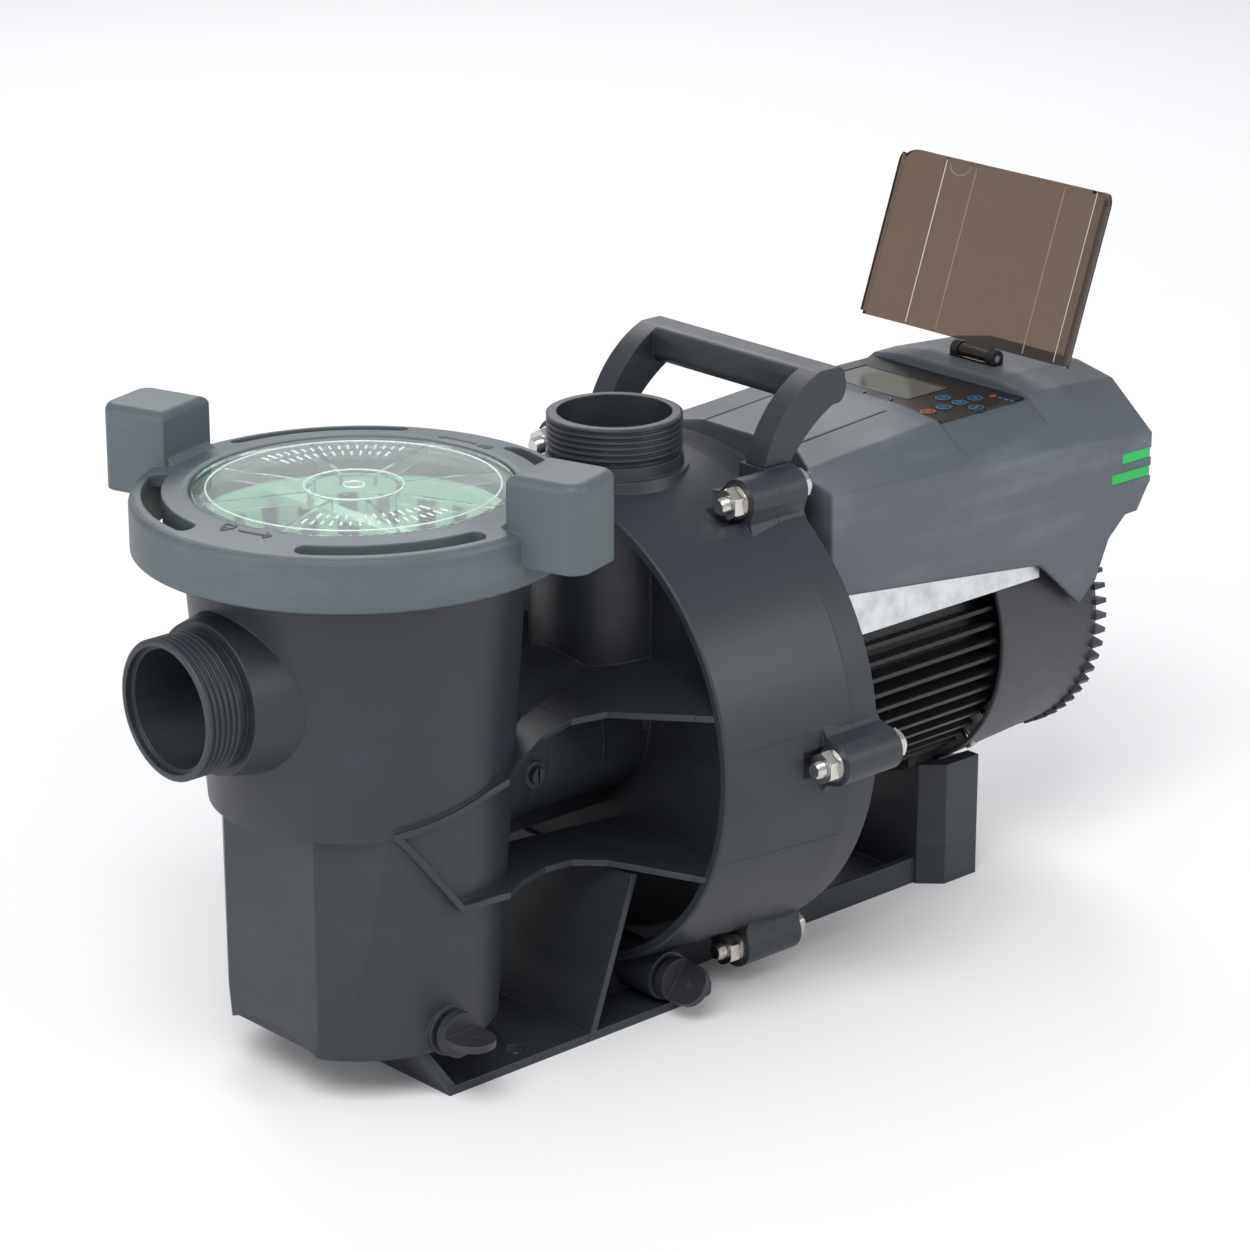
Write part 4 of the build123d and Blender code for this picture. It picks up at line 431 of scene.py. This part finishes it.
LID_CLEAR = clear_plastic("lid_clear", (240, 247, 245), 0.02, 0.08, milk=0.05)
LID_MARK = clear_plastic("lid_raised_mark", (236, 242, 242), 0.2, 0.1, milk=0.3)
SMOKE = clear_plastic("smoke_tint", (112, 94, 80), 0.02, 0.05)
# Painted sheen: a lighter opaque tint on the cover's ridges and thumb scoop stands in for light caught on
# them.
SMOKE_RIDGE_SHEEN = printed("smoke_ridge_painted_sheen", (142, 124, 110), 0.15)
# Painted highlight: a near-white opaque tint along the creases stands in for light caught where the smoked
# wings bend.
SMOKE_CREASE_HIGHLIGHT = printed("smoke_crease_painted_highlight", (214, 206, 198), 0.1)
DISPLAY = moulded("display_glass", (88, 91, 82), (120, 122, 112), 0.12, 0.3, 0.0, 0.1, 0.3)
BLUE_INK = printed("blue_ink", (44, 132, 196))
ORANGE_INK = printed("orange_ink", (238, 110, 28))

FINISH = {
    "body_plastic": CHARCOAL, "ring_plastic": RING_GREY, "drive_plastic": DRIVE_GREY,
    "cover_plastic": COVER_GREY, "plug_plastic": PLUG_BLACK, "inner_plastic": INNER_BLACK,
    "fascia_plastic": FASCIA_BLACK, "accent_plastic": ACCENT_GREEN, "basket_plastic": BASKET_GREEN,
    "key_plastic": FASCIA_BLACK, "key_stop_plastic": FASCIA_BLACK, "clear_plastic": LID_CLEAR,
    "smoke_plastic": SMOKE, "display_glass": DISPLAY, "rubber": RUBBER, "stainless": STAINLESS,
    "plate_aluminium": RAW_ALUMINIUM, "motor_aluminium": MOTOR_BLACK, "core_steel": CORE_STEEL,
    "winding_copper": COPPER, "seal_ceramic": SEAL_WHITE, "seal_carbon": INNER_BLACK,
    "board_green": BOARD_GREEN,
}
for part in frame["record"]["subparts"]:
    mesh = nodes[part["node"]].data
    mesh.materials.clear()
    mesh.materials.append(FINISH[part["material_slot"]])


# ---------------------------------------------------------------- fasteners
BOLT_COUNT = 6
BOLT_PITCH = 1.5 * MM
BOLT_DEPTH = 0.85 * MM
BOLT_R = 5.0 * MM
BOLT_HEAD = 6.4 * MM
WASHER_R = 9.6 * MM
HEX_FLATS = 16.0 * MM
HEX_COLUMNS = 72
HEAD_STATIONS = 8


def hexagon(turn, flats):
    """Radius of a hexagon at an angle: half the flats over the cosine of the angle from the nearest flat."""
    sixth = TAU / 6.0
    return 0.5 * flats / np.cos((turn + sixth / 2.0) % sixth - sixth / 2.0)


def bolt_axes():
    """Y and Z of each flange bolt, at even turns about the shaft, starting level with it."""
    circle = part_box("flange_washers")[1][1] - WASHER_R
    turn = TAU / BOLT_COUNT * np.arange(BOLT_COUNT)
    return circle * np.cos(turn), node_centre("shaft")[2] + circle * np.sin(turn)


def threaded_bolt(y, z, tail_x, head_x, end_x, thread_x):
    """Bolt on an X axis: a shank cut by a triangular helical groove, then a hexagon under a conical crown."""
    head_stations = np.linspace(head_x + 0.1 * MM, end_x, HEAD_STATIONS)
    thread_stations = np.arange(tail_x, thread_x, BOLT_PITCH / 8.0)
    x = np.concatenate([thread_stations, [thread_x, head_x, head_x], head_stations])
    turn = np.linspace(0.0, TAU, HEX_COLUMNS, endpoint=False)
    along, around = x[:, None], turn[None, :]
    phase = (along / BOLT_PITCH - around / TAU) % 1.0
    groove = BOLT_DEPTH * np.abs(2.0 * phase - 1.0)
    lead = np.clip(BOLT_R - 1.3 * MM + (along - tail_x), 0.0, BOLT_R)
    shank = np.where(along < thread_x, np.minimum(BOLT_R - groove, lead), BOLT_R)
    crown = 0.5 * HEX_FLATS * 1.13 - 0.9 * np.clip(along - end_x + 1.8 * MM, 0.0, None)
    head = np.minimum(hexagon(around, HEX_FLATS), crown)
    in_head = np.arange(len(x))[:, None] >= len(x) - HEAD_STATIONS - 1
    radius = np.where(in_head, head, shank)
    along = np.broadcast_to(along, radius.shape)
    return np.stack([along, y + radius * np.cos(around), z + radius * np.sin(around)], axis=-1)


def hex_nut(y, z, x0, x1):
    """Nut on an X axis: outside, the lesser of a hexagon and two conical crowns; inside, a round bore."""
    turn = np.linspace(0.0, TAU, HEX_COLUMNS, endpoint=False)[:, None]
    outer_x = np.linspace(x0, x1, 12)
    inner_x = np.array([x1, x0])
    crown = 0.5 * HEX_FLATS * 1.06 + 1.1 * np.minimum(outer_x - x0, x1 - outer_x)
    outer = np.minimum(hexagon(turn, HEX_FLATS), crown[None, :])
    inner = np.full((HEX_COLUMNS, 2), BOLT_R)
    radius = np.concatenate([outer, inner], axis=1)
    along = np.broadcast_to(np.concatenate([outer_x, inner_x])[None, :], radius.shape)
    return np.stack([along, y + radius * np.cos(turn), z + radius * np.sin(turn)], axis=-1)


def make_flange_fasteners():
    """Threaded bolts and crowned nuts in the places of the plain ones."""
    bolt_low, bolt_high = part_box("flange_bolts")
    nut_low, nut_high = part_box("flange_nuts")
    spots = list(zip(*bolt_axes()))
    under_head, thread_end = bolt_high[0] - BOLT_HEAD, nut_low[0] + 1.0 * MM
    bolts = [threaded_bolt(y, z, bolt_low[0], under_head, bolt_high[0], thread_end) for y, z in spots]
    piece = tubes_piece("flange_bolts_threaded", bolts, STAINLESS)
    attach(piece, "pump")
    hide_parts("flange_bolts")
    nuts = [hex_nut(y, z, nut_low[0], nut_high[0]) for y, z in spots]
    piece = tubes_piece("flange_nuts_crowned", nuts, STAINLESS, looped=True)
    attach(piece, "pump")
    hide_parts("flange_nuts")


# ---------------------------------------------------------------- moulded marks
UP = (0.0, 0.0, 1.0)


def make_parting_lines():
    """Faint raised mould lines along the drum, on the cone between its front and its joint face."""
    shaft_z = node_centre("shaft")[2]
    front_x, joint_x = -44.0 * MM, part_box("seal_plate")[0][0] + 9.9 * MM
    front_r, joint_r = 138.0 * MM, 145.3 * MM
    x = np.linspace(front_x, joint_x, 24)
    r = front_r + (joint_r - front_r) * (x - front_x) / (joint_x - front_x)
    lines = []
    for side in (-1.0, 1.0):
        for angle in np.radians([7.0, -20.5]):
            up = np.array([0.0, side * math.cos(angle), math.sin(angle)])
            path = np.column_stack([x, r * up[1], shaft_z + r * up[2]])
            lines.append(bead(path, up, 0.55 * MM, 0.3 * MM, sink=0.4 * MM))
    piece = tubes_piece("drum_parting_lines", lines, CHARCOAL)
    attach(piece, "pump")


def make_ring_marks():
    """Turn marks on the lock ring's sloping band: a curved arrow and a padlock at each of two places."""
    centre = node_centre("clear_lid")
    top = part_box("clear_lid")[1][2]
    inner_r, outer_r, drop = 89.0 * MM, 113.5 * MM, 3.1 * MM
    slope = drop / (outer_r - inner_r)

    def lay(radius, angle):
        """Points on the cone z = top + 0.8 mm - slope (r - inner_r) at given radii and angles."""
        radius, angle = np.broadcast_arrays(radius, angle)
        z = top + 0.8 * MM - slope * (radius - inner_r)
        return np.column_stack([centre[0] + radius * np.cos(angle), centre[1] + radius * np.sin(angle), z])

    def up_at(angle):
        lean = np.stack([slope * np.cos(angle), slope * np.sin(angle), np.ones_like(angle)], axis=-1)
        return lean / np.linalg.norm(lean, axis=-1, keepdims=True)

    def raised(radius, angle, looped=False):
        return bead(lay(radius, angle), up_at(angle), 0.75 * MM, 0.55 * MM, looped)

    strokes, loops = [], []
    arrow_r, barb_reach, barb_sweep = 93.5 * MM, 2.9 * MM, 0.035
    case_r, bow_r, case_sweep, bow_sweep = 90.4 * MM, 94.0 * MM, 0.034, 0.021
    for first, last in ((-167.0, -154.0), (7.0, 23.0)):
        strokes.append(raised(arrow_r, np.radians(np.linspace(first, last - 2.5, 28))))
        tip = math.radians(last - 1.5)
        barb = stroke([(arrow_r - barb_reach, tip - barb_sweep), (arrow_r, tip),
                       (arrow_r + barb_reach, tip - barb_sweep)])
        strokes.append(raised(barb[:, 0], barb[:, 1]))
        lock = math.radians(first - 5.0)
        case = stroke([(case_r, lock - case_sweep), (case_r, lock + case_sweep),
                       (bow_r, lock + case_sweep), (bow_r, lock - case_sweep)], looped=True)
        loops.append(raised(case[:, 0], case[:, 1], looped=True))
        bow = np.linspace(0.0, math.pi, 14)
        strokes.append(raised(bow_r + 3.2 * MM * np.sin(bow), lock + bow_sweep * np.cos(bow)))
    for name, parts, looped in (("ring_turn_marks", strokes, False), ("ring_lock_marks", loops, True)):
        piece = tubes_piece(name, parts, RING_GREY, looped)
        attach(piece, "ring")


def make_lid_marks():
    """Raised work on the clear lid: two thin rings, a hub boss ring and two arcs of plain ticks."""
    centre = node_centre("clear_lid")
    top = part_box("clear_lid")[1][2]
    circles = [on_plane(ring_path(r, 120), centre, top) for r in (5.5 * MM, 26.0 * MM, 77.0 * MM)]
    rings = [bead(path, UP, 0.5 * MM, 0.5 * MM, looped=True) for path in circles]
    piece = tubes_piece("lid_raised_rings", rings, LID_MARK, looped=True)
    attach(piece, "lid")
    ticks = []
    for middle in (-118.0, 62.0):
        for row_r, spacing, count in ((66.0, 4.2, 17), (55.0, 5.0, 13)):
            for k in range(count):
                angle = math.radians(middle + spacing * (k - (count - 1) / 2.0))
                reach = 2.6 if k % 3 else 3.6
                ends = [(r * MM * math.cos(angle), r * MM * math.sin(angle))
                        for r in (row_r - reach, row_r + reach)]
                ticks.append(bead(on_plane(stroke(ends), centre, top), UP, 0.7 * MM, 0.5 * MM))
    piece = tubes_piece("lid_raised_ticks", ticks, LID_MARK)
    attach(piece, "lid")


# ---------------------------------------------------------------- control panel print
def ink_lines(paths, centre, top, half, height, looped):
    """Thin beads of ink on the flat top of a key or the panel."""
    return [bead(on_plane(path, centre, top), UP, half, height, looped, 0.02 * MM) for path in paths]


def arrow_head(direction, size):
    """Corners of a triangle that points along a flat direction."""
    ahead = np.array(direction, dtype=float)
    side = np.array([-ahead[1], ahead[0]])
    return [size * ahead, -0.5 * size * ahead + 0.8 * size * side, -0.5 * size * ahead - 0.8 * size * side]


def bars(count, length, pitch):
    """Parallel strokes across Y, spaced along X about the centre."""
    offsets = [pitch * (k - (count - 1) / 2.0) for k in range(count)]
    return [stroke([(x, -length / 2.0), (x, length / 2.0)]) for x in offsets]


def make_key_print():
    """A ring and a plain sign on each key's top, riding with the key."""
    size = 1.5 * MM
    arrows = {"key_up": (1, 0), "key_down": (-1, 0), "key_left": (0, 1), "key_right": (0, -1)}
    levels = {"key_speed_1": 1, "key_speed_2": 2, "key_speed_3": 3}
    half_square = 1.3 * MM
    for key in sorted(name for name in nodes if name.startswith("key_")):
        centre = node_centre(key)
        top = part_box(key)[1][2]
        ink = ORANGE_INK if key == "key_stop" else BLUE_INK
        loops = [ring_path(4.1 * MM)]
        strokes = []
        if key in arrows:
            loops.append(stroke(arrow_head(arrows[key], size), looped=True))
        elif key in levels:
            strokes = bars(levels[key], 2.6 * MM, 1.3 * MM)
        elif key == "key_stop":
            loops.append(stroke([(-half_square, -half_square), (half_square, -half_square),
                                 (half_square, half_square), (-half_square, half_square)], looped=True))
        else:
            loops.append(ring_path(1.4 * MM, 24))
        sets = [("ring", loops, True)] + ([("sign", strokes, False)] if strokes else [])
        for label, paths, looped in sets:
            beads = ink_lines(paths, centre, top, 0.22 * MM, 0.05 * MM, looped)
            piece = tubes_piece(f"{key}_{label}_print", beads, ink, looped)
            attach(piece, f"{key}_cap")


def make_panel_print():
    """A raised bezel round the display, a printed drop outline, and three printed dashes."""
    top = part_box("control_panel")[1][2]
    edge = 0.8 * MM
    low, high = (np.array(corner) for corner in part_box("display_window"))
    low, high = low - edge, high + edge
    corners = [(low[0], low[1]), (high[0], low[1]), (high[0], high[1]), (low[0], high[1])]
    around = on_plane(stroke(corners, looped=True, steps=12), (0, 0), top)
    bezel = bead(around, UP, edge, 0.3 * MM, looped=True)
    piece = tubes_piece("display_bezel", [bezel], FASCIA_BLACK, looped=True)
    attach(piece, "pump")
    pad = node_centre("key_enter")
    sign = (pad[0] + 25.5 * MM, pad[1] - 3.0 * MM)
    turn = np.linspace(0.0, TAU, 40, endpoint=False)
    drop = np.stack([1.9 * MM * np.cos(turn), 1.5 * MM * np.sin(turn) * np.sin(turn / 2.0) ** 1.5], axis=-1)
    outline = ink_lines([drop], sign, top, 0.3 * MM, 0.06 * MM, True)
    piece = tubes_piece("panel_drop_print", outline, ORANGE_INK, looped=True)
    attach(piece, "pump")
    dashes = [stroke([(0.0, y), (0.0, y - 3.0 * MM)]) for y in (-4.0 * MM, -8.6 * MM, -13.2 * MM)]
    strips = ink_lines(dashes, sign, top, 0.5 * MM, 0.06 * MM, False)
    piece = tubes_piece("panel_dash_print", strips, BLUE_INK)
    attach(piece, "pump")


# ---------------------------------------------------------------- smoked cover
COVER_OPEN = math.radians(109.5)
COVER_THICK = 2.2 * MM


def open_cover(points, hinge):
    """Points given on the closed cover, as distances from the hinge pin, turned back about it."""
    x, y, z = points[:, 0], points[:, 1], points[:, 2]
    ca, sa = math.cos(COVER_OPEN), math.sin(COVER_OPEN)
    return np.column_stack([hinge[0] + x * ca + z * sa, y, hinge[2] - x * sa + z * ca])


def make_cover_lines():
    """Ridge lines on the cover's inner face and a thumb scoop, both in a lighter opaque tint that paints a
    sheen on them, and painted highlight strips along the creases where its wings bend.
    """
    hinge = node_centre("cover_hinge_pin")
    under = -COVER_THICK / 2.0
    inward = open_cover(np.array([[0.0, 0.0, -1.0]]), (0.0, 0.0, 0.0))[0]
    x = np.linspace(-108.0 * MM, -7.0 * MM, 30)

    def lines_at(places, half, height):
        """Beads along the cover's length at the given distances from its middle."""
        lines = []
        for y in places:
            flat = np.column_stack([x, np.full_like(x, y), np.full_like(x, under)])
            lines.append(bead(open_cover(flat, hinge), inward, half, height))
        return lines

    # Ridges in the painted sheen tint.
    ride_cover("cover_ridges", lines_at((-35.0 * MM, 35.0 * MM), 0.5 * MM, 0.4 * MM), SMOKE_RIDGE_SHEEN)
    # Painted highlight strips along the wing bends.
    ride_cover("cover_crease_highlights", lines_at((-59.6 * MM, 59.6 * MM), 0.4 * MM, 0.3 * MM), SMOKE_CREASE_HIGHLIGHT)
    scoop_r, scoop_x, scoop_y = 9.0 * MM, -108.4 * MM, 48.0 * MM
    turn = np.radians(np.linspace(0.0, 180.0, 30))
    flat = np.column_stack([scoop_x + scoop_r * np.sin(turn), scoop_y + scoop_r * np.cos(turn),
                            np.full_like(turn, under)])
    ride_cover("cover_thumb_scoop", [bead(open_cover(flat, hinge), inward, 0.5 * MM, 0.5 * MM)], SMOKE_RIDGE_SHEEN)


def ride_cover(name, lines, finish):
    piece = tubes_piece(name, lines, finish)
    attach(piece, "cover")


make_flange_fasteners()
make_parting_lines()
make_ring_marks()
make_lid_marks()
make_key_print()
make_panel_print()
make_cover_lines()
make_camera()
make_studio()
